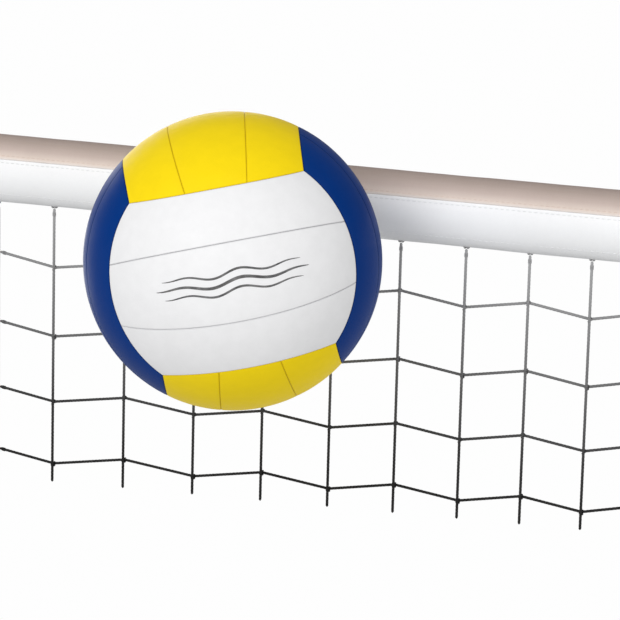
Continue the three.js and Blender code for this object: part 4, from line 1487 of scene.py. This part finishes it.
@dataclass
class Net:
    """Nine uprights in front of four rows, knotted where they cross.

    Attributes:
        diameter: The twine's thickness.
        offset: How far uprights stand in front of the middle plane, and rows behind it.
        middle_x: Where the middle upright hangs.
        width: The mesh's width there, and gather how much it narrows towards +X.
        first_drop, mesh_height, ease: The rows' drops below the band.
        rise: How far odd uprights are knotted up, and even ones down.
        taper: How much shorter the net hangs towards +X.
        twist: The length of a full turn of the twine's three strands.
        lashed: Where each side band's top is lashed up to the padded band.
        lacing_z: Where the lacing loops leave the padded band.
        loops_apart: Half the distance between an upright's two loops.
        lashed_loops_apart: The same beside a lashing, clear of its turns.
        lashed_loops_deeper: How much deeper those loops hang.
        knot_radius, lashing_radius, whipping_radius: The strands' radii.
    """

    diameter: float = 0.0022
    offset: float = 0.00125
    half_count: int = 4
    middle_x: float = 0.019
    width: float = 0.0533
    gather: float = 0.00095
    inner_x: float = 0.2562
    band_bottom: float = -0.0265
    rows: int = 4
    first_drop: float = 0.042
    mesh_height: float = 0.0525
    ease: float = 0.0023
    rise: float = 0.004
    taper: float = 0.17
    twist: float = 0.0085
    lashed: tuple[float, ...] = (0.2596, 0.2667)
    lacing_z: float = -0.0257
    loops_apart: float = 0.0011
    lashed_loops_apart: float = 0.0029
    lashed_loops_deeper: float = 1.5
    knot_radius: float = 0.00056
    lashing_radius: float = 0.00058
    whipping_radius: float = 0.0003

    def upright_x(self, index: int) -> float:
        """Where an upright hangs: the uprights stand closer together towards +X."""
        return self.middle_x + self.width * index - self.gather * index**2

    def knot(self, index: int, row: int) -> list[float]:
        """Where a row is knotted to an upright, or sewn to a side band.

        Args:
            index: The upright, counted from the middle one, or one past the last.
            row: The row, counted from the top.

        Returns:
            The point.
        """
        beyond = abs(index) > self.half_count
        x = math.copysign(self.inner_x, index) if beyond else self.upright_x(index)
        rise = self.rise if index % 2 else -self.rise
        drop = self.first_drop + self.mesh_height * row - self.ease * row * (row - 1) / 2 - rise
        return [x, self.offset, self.band_bottom - drop * (1 - self.taper * (x - self.middle_x))]

    def twine(self, path: Array) -> Surface:
        """Three-strand twine: radius r (0.86 + 0.14 |cos 1.5 (t - turn)|) round the path.

        Args:
            path: The points that it follows.

        Returns:
            The twine, with rounded ends.
        """
        run = distances(path)
        t = ring(15)[None, :]
        lobe = np.abs(np.cos(1.5 * (t - run[:, None] / self.twist * TURN)))
        left = np.minimum(run, run[-1] - run)[:, None] / (self.diameter / 2)
        end = np.sqrt(np.clip(1 - (1 - np.clip(left, 0, 1)) ** 2, 0.12, 1))
        radius = self.diameter / 2 * (0.84 + 0.16 * lobe) * end
        section = np.stack([np.cos(t), np.sin(t)], -1) * radius[..., None]
        return run_closed(sweep(path, section))

    def knots(self) -> Surface:
        """Every crossing's knot: three loops of twine round both cords.

        A loop is an oval ring, leaning one way or the other, of a thinner twisted strand.

        Returns:
            All the knots.
        """
        t = ring(16)
        loops = []
        for lean, lift in ((0.5, 0.0009), (-0.5, -0.0009), (1.35, 0.0)):
            oval = np.stack([0.0013 * np.cos(t), 0.0025 * np.sin(t), 0 * t], -1)
            if lean > 1:
                oval = np.stack([0 * t, 0.0024 * np.sin(t), 0.0013 * np.cos(t)], -1)
                tilt = 0.35
            else:
                tilt = lean
            turn = np.array([[math.cos(tilt), 0, math.sin(tilt)], [0, 1, 0],
                             [-math.sin(tilt), 0, math.cos(tilt)]])
            path = oval @ turn.T + [0, 0, lift]
            heading = unit(np.roll(path, -1, 0) - np.roll(path, 1, 0))
            out = unit(path - path.mean(0))
            loops.append(grid(strand(path, heading, out, self.knot_radius, 7), True, True))
        spots = [self.knot(i, row) for i in range(-self.half_count, self.half_count + 1)
                 for row in range(self.rows)]
        places = moved(np.array(spots) * [1, 0, 1])
        mirrored = np.arange(len(spots)) % 2 == 1
        places[mirrored, 0, 0] = places[mirrored, 1, 1] = -1
        return copies(joined(loops), places)

    def lacing(self) -> Surface:
        """A small loop of twine below the band at each upright: a half ring along Y."""
        t = np.linspace(-0.35, math.pi + 0.35, 15)
        path = np.stack([0 * t, 0.0031 * np.cos(t), self.lacing_z - 0.0013 * np.sin(t)], -1)
        s = np.stack([np.cos(ring(7)), np.sin(ring(7))], -1) * 0.0006
        one = run_closed(sweep(path, s, side=(1, 0, 0)))
        uprights = [self.upright_x(i) for i in range(-self.half_count, self.half_count + 1)]
        lashed = [side * x for x in self.lashed for side in (-1, 1)]
        x = np.array(uprights + lashed)
        counts = [len(uprights), len(lashed)]
        apart = np.repeat([self.loops_apart, self.lashed_loops_apart], counts)
        deeper = np.tile(np.repeat([1.0, self.lashed_loops_deeper], counts), 2)
        places = moved(np.zeros((2 * len(x), 3)))
        places[:, 0, 3] = np.concatenate([x - apart, x + apart])
        places[:, 2, 2], places[:, 2, 3] = deeper, (1 - deeper) * self.lacing_z
        return copies(one, places)

    def lashings(self) -> Surface:
        """Three turns of twine at each place where a side band's top is lashed up.

        A turn is a rounded oblong in the YZ plane, |y / a| = |cos t| ^ 0.5 and
        |z / b| = |sin t| ^ 0.7, from the lacing down through the tape.

        Returns:
            All the turns, which ride on the net.
        """
        t = ring(28)
        c, s = np.cos(t), np.sin(t)
        loops = []
        for turn in (-1, 0, 1):
            y = 0.0024 * np.sign(c) * np.abs(c) ** 0.5
            z = -0.0319 - 0.0002 * abs(turn) + 0.0037 * np.sign(s) * np.abs(s) ** 0.7
            path = np.stack([0.00125 * turn + 0.0003 * s, y, z], -1)
            heading = unit(np.roll(path, -1, 0) - np.roll(path, 1, 0))
            out = unit(np.cross(heading, [1.0, 0, 0]))
            loops.append(grid(strand(path, heading, out, self.lashing_radius, 7), True, True))
        places = moved(np.zeros((2 * len(self.lashed), 3)))
        places[:, 0, 3] = [side * x for x in self.lashed for side in (-1, 1)]
        return copies(joined(loops), places)

    def whippings(self) -> Surface:
        """Four turns of thread round each upright's top and each row's two ends.

        Returns:
            All the coils, which ride on the net.
        """
        t = np.linspace(0, 4 * TURN, 72)
        path = np.stack([0.00115 * np.cos(t), 0.00115 * np.sin(t), t / TURN * 0.0007], -1)
        heading = unit(np.gradient(path, axis=0))
        out = unit(path * [1, 1, 0])
        one = run_closed(strand(path, heading, out, self.whipping_radius, 6))
        uprights = moved(np.zeros((2 * self.half_count + 1, 3)))
        for number in range(len(uprights)):
            low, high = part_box(f"upright_cord_{number + 1}")
            uprights[number, :, 3] = [(low[0] + high[0]) / 2, -self.offset, high[2] - 0.0058]
        last = self.half_count + 1
        ends = np.array([[self.knot(side * last, row), self.knot(side * (last - 1), row)]
                         for side in (-1, 1) for row in range(self.rows)])
        heading = unit(ends[:, 1] - ends[:, 0])
        turned = placements(ends[:, 0] + heading * 0.0022, heading, np.array([0, 1.0, 0]))
        turned[:, :, :3] = turned[:, :, [1, 2, 0]]
        return copies(one, np.concatenate([uprights, turned]))

    def build(self) -> None:
        """Builds the cords, which come first of all pieces, and then the knots."""
        for number in range(1, 2 * self.half_count + 2):
            node = f"upright_cord_{number}"
            low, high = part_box(node)
            ends = np.array([[(low[0] + high[0]) / 2, -self.offset, z] for z in (high[2], low[2])])
            path = along(ends, step=0.0009)
            made = piece(f"upright_twine_{number}", self.twine(path), TWINE, Body.NET,
                         replaces=[node], smooth=80)
        last = self.half_count + 1
        for row in range(self.rows):
            line = np.array([self.knot(i, row) for i in range(-last, last + 1)])
            path = along(line, step=0.0009)
            made = piece(f"row_twine_{row + 1}", self.twine(path), TWINE, Body.NET,
                         replaces=[f"row_cord_{row + 1}"], smooth=80)
        piece("net_knots", self.knots(), TWINE, Body.NET)
        piece("upright_whippings", self.whippings(), TWINE, Body.NET)
        piece("hem_lacing", self.lacing(), TWINE, Body.BAND)
        piece("side_lashings", self.lashings(), TWINE, Body.NET)


# ---------------------------------------------------------------- side bands


@dataclass
class SideBand:
    """A tape folded round a rod, sewn flat, with an eyelet through its lower corner.

    Attributes:
        inner_x: The tape's edge towards the net.
        rod_x: The rod's axis.
        sleeve: The middle of the tape's wall round the rod, as a radius.
        half: How far the wall's middle lies from the middle plane in the flat part.
        wall: The tape's thickness.
        lean: Where the tape leaves the sleeve's round, in radians.
    """

    end: End
    inner_x: float = 0.2565
    rod_x: float = 0.2783
    sleeve: float = 0.00505
    half: float = 0.00105
    wall: float = 0.0014
    lean: float = 0.87
    pitch: float = 0.0042
    grommet_hole: float = 0.0035
    grommet_barrel: float = 0.0042

    @property
    def height(self) -> tuple[float, float]:
        """The tape's lower and upper ends."""
        low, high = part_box(f"{self.end.label}_side_band")
        return low[2], high[2]

    @property
    def corner(self) -> Array:
        """The eyelet's centre."""
        low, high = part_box(f"{self.end.label}_grommet")
        middle = (np.array(low) + np.array(high)) / 2
        return np.array([abs(middle[0]), 0.0, middle[2]])

    def fold(self) -> Array:
        """The tape's path in (X, Y): along one face, round the rod and back along the other."""
        t = np.linspace(self.lean - math.pi, math.pi - self.lean, 25)
        round_rod = np.stack(
            [self.rod_x + self.sleeve * np.cos(t), self.sleeve * np.sin(t), 0 * t], -1)
        start = np.array([[self.inner_x, -self.half, 0], [self.inner_x + 0.007, -self.half, 0],
                          [self.inner_x + 0.013, -self.half - 0.0002, 0]])
        knots = np.concatenate([start, round_rod, (start * [1, -1, 1])[::-1]])
        return along(smooth_path(knots, 8), step=0.0008)

    def tape(self) -> Surface:
        """The folded tape: the path offset by half its wall to each side, drawn out along Z.

        Returns:
            The tape, at the +X end, with a slow ripple in its flat part.
        """
        path = self.fold()
        heading = unit(np.gradient(path, axis=0))
        normal = np.cross(heading, [0, 0, 1.0])
        low, high = self.height
        z = np.linspace(low, high, 160)[:, None]
        flat = 1 - ease((path[:, 0] - self.inner_x - 0.004) / 0.009)
        ripple = 0.00022 * np.sin(z * 88) * np.sin(z * 31 + 1) * flat[None]
        edges = 0.00035 * (np.exp(-(z - low) / 0.0012) + np.exp(-(high - z) / 0.0012))
        walls = []
        for side in (1, -1):
            reach = side * (self.wall / 2 - edges)
            xy = path[None, :, :2] + normal[None, :, :2] * reach[..., None]
            y = xy[..., 1] + ripple
            walls.append(np.stack([xy[..., 0], y, z + 0 * y], -1))
        return shell(*walls)

    def stitches(self) -> Surface:
        """Rows of stitches down both faces, and a sewn bar across the lower end."""
        low, high = self.height
        z = np.arange(low + 0.003, high - 0.002, self.pitch)
        rows = []
        for x in (self.inner_x + 0.0018, self.inner_x + 0.0135):
            for side in (-1, 1):
                keep = np.hypot(z - self.corner[2], x - self.corner[0]) > 0.0072
                face = side * (self.half + self.wall / 2 + (0.0002 if x > 0.268 else 0.00005))
                spots = np.stack([x + 0 * z, face + 0 * z, z], -1)[keep]
                rows.append(placements(spots, np.array([0, 0, 1.0]), np.array([0, side, 0.0])))
        return copies(stitch(STITCH_LENGTH, STITCH_RADIUS), np.concatenate(rows))

    def grommet(self) -> Surface:
        """A brass eyelet: a barrel whose rims roll outwards over washers."""
        low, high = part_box(f"{self.end.label}_grommet")
        half = (high[1] - low[1]) / 2
        hole, barrel = self.grommet_hole, self.grommet_barrel
        outer = (high[0] - low[0]) / 2
        face = half - 0.0008
        t = np.linspace(0, math.pi / 2, 6)
        lip = np.stack([half - 0.0007 * (1 - np.sin(t)), hole + 0.0007 * (1 - np.cos(t))], -1)
        rim = np.stack([half - 0.0004 * (1 - np.cos(t)), outer - 0.0004 * (1 - np.sin(t))], -1)
        under = [[face, outer], [face, barrel]]
        top = np.concatenate([lip, [[half, (hole + outer) / 2]], rim, under])
        profile = np.concatenate([top, (top * [-1, 1])[::-1]])
        return grid(lathe(profile, (0, 1, 0), self.corner, 40), True, True)

    def rod(self) -> Surface:
        """The rod, with rounded ends: r sqrt(1 - s^2) over its last 2 mm."""
        low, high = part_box(f"{self.end.label}_dowel")
        radius = (high[1] - low[1]) / 2
        t = np.linspace(0, math.pi / 2, 8)
        cap = np.stack([0.002 * (1 - np.cos(t)), radius * (0.55 + 0.45 * np.sin(t)) * (t > 0)], -1)
        body = np.linspace(0.004, high[2] - low[2] - 0.004, 24)[:, None]
        upper = np.stack([high[2] - low[2] - cap[::-1, 0], cap[::-1, 1]], -1)
        profile = np.concatenate([cap, np.concatenate([body, 0 * body + radius], 1), upper])
        return grid(lathe(profile, (0, 0, 1), (self.rod_x, 0, low[2]), 40), ring_columns=True)

    def build(self) -> None:
        label = self.end.label
        tape = piece(f"{label}_folded_tape", toward(self.end, self.tape()), TAPE, Body.NET,
                     replaces=[f"{label}_side_band"])
        centre = self.corner * [self.end.value, 1, 1]
        bored(tape, centre, np.array([0, 1.0, 0]), self.grommet_barrel + 0.0002)
        sewn = piece(f"{label}_tape_stitches", toward(self.end, self.stitches()), TAPE_THREAD,
                     Body.NET)
        run = float(np.linalg.norm(np.diff(self.fold(), axis=0), axis=1).sum())
        piece(f"{label}_rod", toward(self.end, self.rod()), ROD, Body.NET,
              replaces=[f"{label}_dowel"])
        piece(f"{label}_corner_eyelet", toward(self.end, self.grommet()), BRASS, Body.NET,
              replaces=[f"{label}_grommet"], smooth=50)


# ---------------------------------------------------------------- the cable's ends


@dataclass
class Headline:
    """The stranded cable through the band, and what each end of it is held by.

    Attributes:
        cable: The cable's diameter.
        strand_z: How far the two runs lie from the axis in the ferrule.
        ferrule_x: Where the ferrule starts.
        thimble_x: The middle of the thimble's round.
        thimble_hole, thimble_outer: The thimble's radii.
        thimble_point: From the round's middle to the point.
        eye_x: The middle of the swivel's eye.
    """

    cable: float = 0.0044
    strand_z: float = 0.0025
    half_length: float = 0.288
    ferrule_x: float = 0.3043
    ferrule_length: float = 0.016
    ferrule_wall: float = 0.0018
    thimble_x: float = 0.3387
    thimble_hole: float = 0.0065
    thimble_outer: float = 0.0082
    thimble_point: float = 0.014
    eye_radius: float = 0.009
    eye_wire: float = 0.0036
    lay: float = 0.021

    def loop_path(self) -> Array:
        """The +X end's cable path: straight, up into the ferrule, round the thimble and back."""
        radius = self.thimble_outer + 0.0003 + self.cable / 2
        slope = math.asin(self.thimble_outer / self.thimble_point)
        angle = np.linspace(math.pi / 2 + slope, -math.pi / 2 - slope, 23)
        end = self.ferrule_x + self.ferrule_length
        touch = np.array([self.thimble_x + radius * math.cos(angle[0]),
                          radius * math.sin(angle[0])])
        side = np.array([end, self.strand_z]) * 0.55 + touch * 0.45 - [0, 0.0003]
        rise = self.strand_z
        way_in = [[self.half_length - 0.006, 0], [self.half_length + 0.001, 0],
                  [self.half_length + 0.0055, 0.0001], [self.half_length + 0.0095, 0.35 * rise],
                  [self.ferrule_x - 0.0022, 0.93 * rise], [self.ferrule_x + 0.001, rise],
                  [end - 0.005, rise], [end, rise], side]
        round_it = np.stack([self.thimble_x + radius * np.cos(angle), radius * np.sin(angle)], -1)
        way_out = [side * [1, -1], [end, -rise], [end - 0.005, -rise],
                   [self.ferrule_x + 0.0055, -rise], [self.ferrule_x - 0.0012, -rise]]
        flat = np.concatenate([way_in, round_it, way_out])
        line = np.stack([flat[:, 0], 0 * flat[:, 0], flat[:, 1]], -1)
        return along(smooth_path(line), step=0.0006)

    def strands(self) -> Surface:
        """Six outer strands: radius r (0.85 + 0.15 |cos 3 (t - turn)|), twisted by the lay.

        Returns:
            The whole cable, coarse where the band hides it.
        """
        right = self.loop_path()
        left = (right * [-1, 1, 1])[::-1]
        inside = np.linspace(left[-1], right[0], 60)[1:-1]
        path = np.concatenate([left, inside, right])
        run = distances(path)
        t = ring(36)[None, :]
        lobe = np.abs(np.cos(3 * (t - run[:, None] / self.lay * TURN)))
        radius = self.cable / 2 * (0.85 + 0.15 * lobe)
        section = np.stack([np.cos(t), np.sin(t)], -1) * radius[..., None]
        return run_closed(sweep(path, section))

    def ferrule(self) -> Surface:
        """The pressed sleeve: an oval wall with three crimps of a sine's depth.

        Returns:
            The sleeve, at the +X end.
        """
        x = np.linspace(0, 1, 49)
        crimp = 0.00055 * np.sin(np.clip((x - 0.08) / 0.84, 0, 1) * 3 * math.pi) ** 2
        left = 1 - np.clip(np.minimum(x, 1 - x) / 0.035, 0, 1)
        edge = 0.0005 * (1 - np.sqrt(np.clip(1 - left**2, 0, 1)))
        bore = self.cable / 2 + 0.0003

        def oval(radius: Array | float) -> Array:
            """The stadium round both runs, at each radius: (Y, Z)."""
            t = np.linspace(0, math.pi, 20)
            reach = np.reshape(radius, (-1, 1))
            upper = np.stack([reach * np.cos(t), self.strand_z + reach * np.sin(t)], -1)
            return np.concatenate([upper, -upper], 1)

        outer = oval(bore + self.ferrule_wall - crimp - edge)
        inner = np.broadcast_to(oval(bore), outer.shape)
        place = (self.ferrule_x + x * self.ferrule_length)[:, None, None] + 0 * outer[..., :1]
        walls = [np.concatenate([place, flat], -1) for flat in (outer, inner[::-1])]
        walls[1][..., 0] = place[::-1, :, 0]
        return grid(np.concatenate(walls), True, True)

    def thimble(self) -> Surface:
        """A channel bent to a drop: its section carried round, scaled from the round's middle."""
        slope = math.asin(self.thimble_outer / self.thimble_point)
        angle = np.linspace(-math.pi / 2 - slope, math.pi / 2 + slope, 41)
        arc = np.stack([np.cos(angle), np.sin(angle)], -1)
        tip = np.array([-self.thimble_point / self.thimble_outer, 0])
        share = np.linspace(0, 1, 10)[1:, None]
        down = arc[-1] + (tip - arc[-1]) * share
        drop = np.concatenate([arc, down, (down * [1, -1])[-2::-1]])
        section = np.array([
            [0.0065, -0.0027], [0.0066, -0.003], [0.0095, -0.003], [0.0097, -0.0028],
            [0.0094, -0.0025], [0.0086, -0.0021], [0.00825, -0.0011], [0.0082, 0],
            [0.00825, 0.0011], [0.0086, 0.0021], [0.0094, 0.0025], [0.0097, 0.0028],
            [0.0095, 0.003], [0.0066, 0.003], [0.0065, 0.0027],
        ])
        flat = drop[:, None, :] * section[None, :, :1]
        y = np.broadcast_to(section[None, :, 1], flat.shape[:2])
        return grid(np.stack([self.thimble_x + flat[..., 0], y, flat[..., 1]], -1), True, True)

    def swivel(self) -> Surface:
        """The swivel's eye, a lying ring, with a filleted shank and a riveted head.

        Returns:
            The eye, at the +X end.
        """
        low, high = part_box("right_swivel_eye")
        eye_x = low[0] + self.eye_radius + self.eye_wire / 2
        t, s = ring(64)[:, None], ring(20)[None, :]
        reach = self.eye_radius + self.eye_wire / 2 * np.cos(s)
        eye = np.stack([eye_x + reach * np.cos(t), reach * np.sin(t),
                        self.eye_wire / 2 * np.sin(s) + 0 * t], -1)
        start = eye_x + self.eye_radius
        end = high[0]
        fillet = np.linspace(0, 1, 6)
        neck = np.stack([start - 0.0005 + 0.0028 * fillet, 0.0026 + 0.0012 * (1 - fillet) ** 2], -1)
        head = np.array([
            [end - 0.0024, 0.0026], [end - 0.0024, 0.0042], [end - 0.002, 0.0046],
            [end - 0.0011, 0.0046], [end - 0.0004, 0.0041], [end, 0.0028], [end, 0.0],
        ])
        profile = np.concatenate([[[start - 0.0005, 0.0]], neck, head])
        shank = grid(lathe(profile, (1, 0, 0), (0, 0, 0), 40), ring_columns=True)
        return joined([grid(eye, True, True), shank])

    def build(self) -> None:
        """Builds the cable, and the ferrule, thimble and swivel at each end."""
        piece("stranded_cable", self.strands(), ZINC, Body.BAND, replaces=["headline_cable"],
              smooth=80)
        for end in End:
            for word, node, surface in (
                ("crimped_ferrule", "ferrule", self.ferrule()),
                ("channel_thimble", "thimble", self.thimble()),
                ("forged_eye", "swivel_eye", self.swivel()),
            ):
                piece(f"{end.label}_{word}", toward(end, surface), STEEL, Body.BAND,
                      replaces=[f"{end.label}_{node}"])


@dataclass
class SnapHook:
    """A swivel snap hook: a collar, a hooked arm, two ears and a sprung gate.

    Attributes:
        section: The arm's thickness in the hook's plane, and width across it.
        gate_height, gate_width, tongue: The gate's sizes.
        pin: The pin's diameter.
        ear_end: Where the ears end, and gate_start where the gate's wide bar starts.
    """

    end: End
    section: float = 0.0048
    width: float = 0.007
    gate_height: float = 0.0042
    gate_width: float = 0.005
    tongue: float = 0.0028
    pin: float = 0.0024
    swivel_bore: float = 0.003
    collar_length: float = 0.007
    nose_radius: float = 0.012
    ear_end: float = 0.3769

    def __post_init__(self) -> None:
        """Takes the hook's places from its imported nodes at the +X end."""
        low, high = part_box("right_hook_body")
        self.collar_x = low[0]
        self.nose_x = high[0] - self.nose_radius
        low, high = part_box("right_gate_pin")
        self.pin_x, self.pin_z = (low[0] + high[0]) / 2, (low[2] + high[2]) / 2
        self.gate_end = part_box("right_gate")[1][0]

    def body(self) -> Surface:
        """The collar's barrel, the arm from it round the nose, and the ears' bridge and plates.

        Returns:
            The hook's body, at the +X end.
        """
        bore, outer, x0 = self.swivel_bore, 0.0068, self.collar_x
        x1 = x0 + self.collar_length
        barrel = np.array([
            [x0, bore + 0.0003], [x0, outer - 0.0012], [x0 + 0.0004, outer - 0.0005],
            [x0 + 0.0012, outer], [x1 - 0.0012, outer], [x1 - 0.0004, outer - 0.0005],
            [x1, outer - 0.0012], [x1, bore + 0.0003], [x1 - 0.0003, bore], [x0 + 0.0003, bore],
        ])
        pieces = [grid(lathe(barrel, (1, 0, 0), (0, 0, 0), 48), True, True)]
        middle = self.nose_radius - self.section / 2
        t = np.linspace(-math.pi / 2, math.pi / 2, 30)
        nose = np.stack([self.nose_x + middle * np.cos(t), middle * np.sin(t)], -1)
        t = np.linspace(math.pi, 1.5 * math.pi, 9)
        foot, bend = x0 + 0.0028, 0.0052
        corner = np.stack(
            [foot + bend * (1 + np.cos(t)), -middle + bend * (1 + np.sin(t))], -1)
        tip = [[self.gate_end + 0.0004, middle]]
        flat = np.concatenate([[[foot, -0.0033]], corner, nose[:-1], tip])
        path = along(np.stack([flat[:, 0], 0 * flat[:, 0], flat[:, 1]], -1), step=0.0008)
        run = np.linspace(0, 1, len(path))[:, None, None]
        shape = rounded(self.width, self.section, 3.2, 28)[None]
        thin = 1 - 0.12 * ease((run - 0.9) / 0.1)
        pieces.append(run_closed(sweep(path, shape * thin)))
        bridge = np.array([[foot, 0, 0.0033], [foot, 0, 0.0072], [x0 + 0.0031, 0, 0.0098]])
        rise = smooth_path(bridge, 8)
        shape = rounded(self.width, 0.0052, 3.2, 28)[None] * np.ones((len(rise), 1, 1))
        pieces.append(run_closed(sweep(rise, shape)))
        radius = self.section / 2
        ear = stadium(x0 + 0.0034, self.ear_end - radius, radius, 14) + [0, self.pin_z]
        inner = self.tongue / 2 + 0.0003
        pieces += [plate(ear, inner, self.width / 2, 0.0005),
                   plate(ear, -self.width / 2, -inner, 0.0005)]
        return joined(pieces)

    def gate(self) -> Surface:
        """The gate: a tongue between the ears and a wider rounded bar with a thumb ridge.

        Returns:
            The gate, at the +X end.
        """
        half = self.gate_height / 2
        tongue = stadium(self.pin_x, self.ear_end + 0.0015, half, 14) + [0, self.pin_z]
        parts = [plate(tongue, -self.tongue / 2, self.tongue / 2, 0.0003)]
        x = np.linspace(self.ear_end + 0.001, self.gate_end, 25)
        path = np.stack([x, 0 * x, 0 * x + self.pin_z], -1)
        share = (x - x[0]) / (x[-1] - x[0])
        left = 1 - np.clip(np.minimum(share, 1 - share) / 0.05, 0, 1)
        edge = np.sqrt(np.clip(1 - left**2, 0.6, 1))
        shape = rounded(self.gate_width, self.gate_height, 3.4, 28)[None] * edge[:, None, None]
        parts.append(run_closed(sweep(path, shape)))
        return joined(parts)

    def rivet(self) -> Surface:
        """The gate's pin, with low domed heads."""
        half = self.width / 2
        t = np.linspace(0, math.pi / 2, 6)
        dome = np.stack([half + 0.00045 * np.cos(t), 0.0017 * np.sin(t)], -1)
        profile = np.concatenate([dome, [[half, 0.0017], [half, self.pin / 2]]])
        profile = np.concatenate([profile, (profile * [-1, 1])[::-1]])
        middle = (self.pin_x, 0, self.pin_z)
        return grid(lathe(profile, (0, 1, 0), middle, 28), ring_columns=True)

    def build(self) -> None:
        """Builds the hook on its own body and the gate on its own."""
        label = self.end.label
        hook = Body(f"{label}_hook")
        piece(f"{label}_snap_body", toward(self.end, self.body()), STEEL, hook,
              replaces=[f"{label}_hook_body"])
        piece(f"{label}_snap_rivet", toward(self.end, self.rivet()), PIN_STEEL, hook,
              replaces=[f"{label}_gate_pin"])
        piece(f"{label}_snap_gate", toward(self.end, self.gate()), STEEL, Body(f"{label}_gate"),
              replaces=[f"{label}_gate"])


# ---------------------------------------------------------------- the studio


@dataclass
class Studio:
    """The camera, the lights, the world and the floor.

    Attributes:
        azimuth, elevation, roll: Where the camera stands and how it leans, in degrees.
        distance: From the camera to its target.
        target: The point that it looks at.
        lens: Its focal length in millimetres on a 36 mm sensor.
    """

    azimuth: float = 20.0
    elevation: float = 12.811
    roll: float = 1.486
    distance: float = 2.4
    target: tuple[float, float, float] = (0.00079, 0.0, -0.08603)
    lens: float = 186.05
    floor_z: float = -0.95

    def axes(self) -> tuple[Array, Array, Array]:
        """The camera's right, up and back directions."""
        a, e, r = (math.radians(angle) for angle in (self.azimuth, self.elevation, self.roll))
        back = np.array([math.sin(a) * math.cos(e), -math.cos(a) * math.cos(e), math.sin(e)])
        right = np.array([math.cos(a), math.sin(a), 0.0])
        up = np.cross(back, right)
        c, s = math.cos(r), math.sin(r)
        return c * right + s * up, c * up - s * right, back

    def camera(self) -> None:
        """Places the camera."""
        right, up, back = self.axes()
        data = bpy.data.cameras.new("camera")
        data.lens, data.sensor_width = self.lens, 36
        data.clip_end = 200
        made = bpy.data.objects.new("camera", data)
        spot = np.array(self.target) + self.distance * back
        matrix = np.eye(4)
        matrix[:3] = np.stack([right, up, back, spot], -1)
        made.matrix_world = Matrix(matrix.tolist())
        bpy.context.scene.collection.objects.link(made)
        bpy.context.scene.camera = made

    def light(self, name: str, toward_it: Sequence[float], power: float, size: float) -> None:
        """Adds a soft square light.

        Args:
            name: Its name.
            toward_it: The direction from the object to it.
            power: Its power in watts.
            size: Its side in metres.
        """
        data = bpy.data.lights.new(name, "AREA")
        data.energy, data.size = power, size
        made = bpy.data.objects.new(name, data)
        way = unit(np.array(toward_it, float))
        made.location = way * 2.6
        x = unit(np.cross([0, 0, 1.0], way))
        matrix = np.stack([x, np.cross(way, x), way], -1)
        made.rotation_euler = Matrix(matrix.tolist()).to_euler()
        bpy.context.scene.collection.objects.link(made)

    def build(self) -> None:
        """Builds the lights, the world and a pale floor that fills the view."""
        scene = bpy.context.scene
        scene.view_settings.view_transform = "Standard"
        right, up, back = self.axes()
        self.light("key", -0.42 * right + 0.30 * up + 0.86 * back, 41, 1.1)
        self.light("fill", 0.8 * right + 0.1 * up + 0.7 * back, 17, 2.0)
        self.light("back_fill", -0.3 * right + 0.2 * up - 0.9 * back, 24, 1.8)
        world = bpy.data.worlds.new("studio")
        scene.world = world
        world.use_nodes = True
        shade = Shade(world.node_tree)
        background = world.node_tree.nodes["Background"]
        background.inputs["Color"].default_value = (1, 1, 1, 1)
        shade.tree.links.new(self.seen(shade, 0.99, 0.36), background.inputs["Strength"])
        t = ring(48)
        edge = np.stack([45 * np.cos(t), 45 * np.sin(t), 0 * t + self.floor_z], -1)
        mesh = bpy.data.meshes.new("floor")
        mesh.from_pydata(edge.tolist(), [], [list(range(48))])
        floor = bpy.data.objects.new("floor", mesh)
        scene.collection.objects.link(floor)
        mesh.materials.append(self.paper())
        floor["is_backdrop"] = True

    def seen(self, shade: Shade, bright: float, dim: float) -> bpy.types.NodeSocket:
        """One brightness for the view's own rays and a dimmer one for the light it casts."""
        direct = shade.node("LightPath").outputs["Is Camera Ray"]
        return shade.mapped(direct, 0.0, 1.0, dim, bright)

    def paper(self) -> bpy.types.Material:
        """The floor's plain even white, which throws a softer light than it shows."""
        made = bpy.data.materials.new("floor_paper")
        made.use_nodes = True
        made.node_tree.nodes.clear()
        shade = Shade(made.node_tree)
        glow = shade.node("Emission", {"Strength": self.seen(shade, 0.99, 0.66)})
        output = shade.node("OutputMaterial")
        shade.tree.links.new(glow.outputs[0], output.inputs[0])
        return made


def corners(box: tuple) -> list[list[float]]:
    """A box's lowest and highest corners as plain lists of numbers."""
    return [[float(value) for value in corner] for corner in box]


def main() -> None:
    """Builds the camera and the cords first, then every other piece."""
    logging.basicConfig(level=logging.INFO, format="%(message)s")
    studio = Studio()
    studio.camera()
    Net().build()
    PaddedBand().build()
    Ball().build()
    Headline().build()
    for end in End:
        SideBand(end).build()
        SnapHook(end).build()
    studio.build()
    {"cad": corners(CAD_BOX), "visual": corners(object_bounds())}


if __name__ == "__main__":
    main()
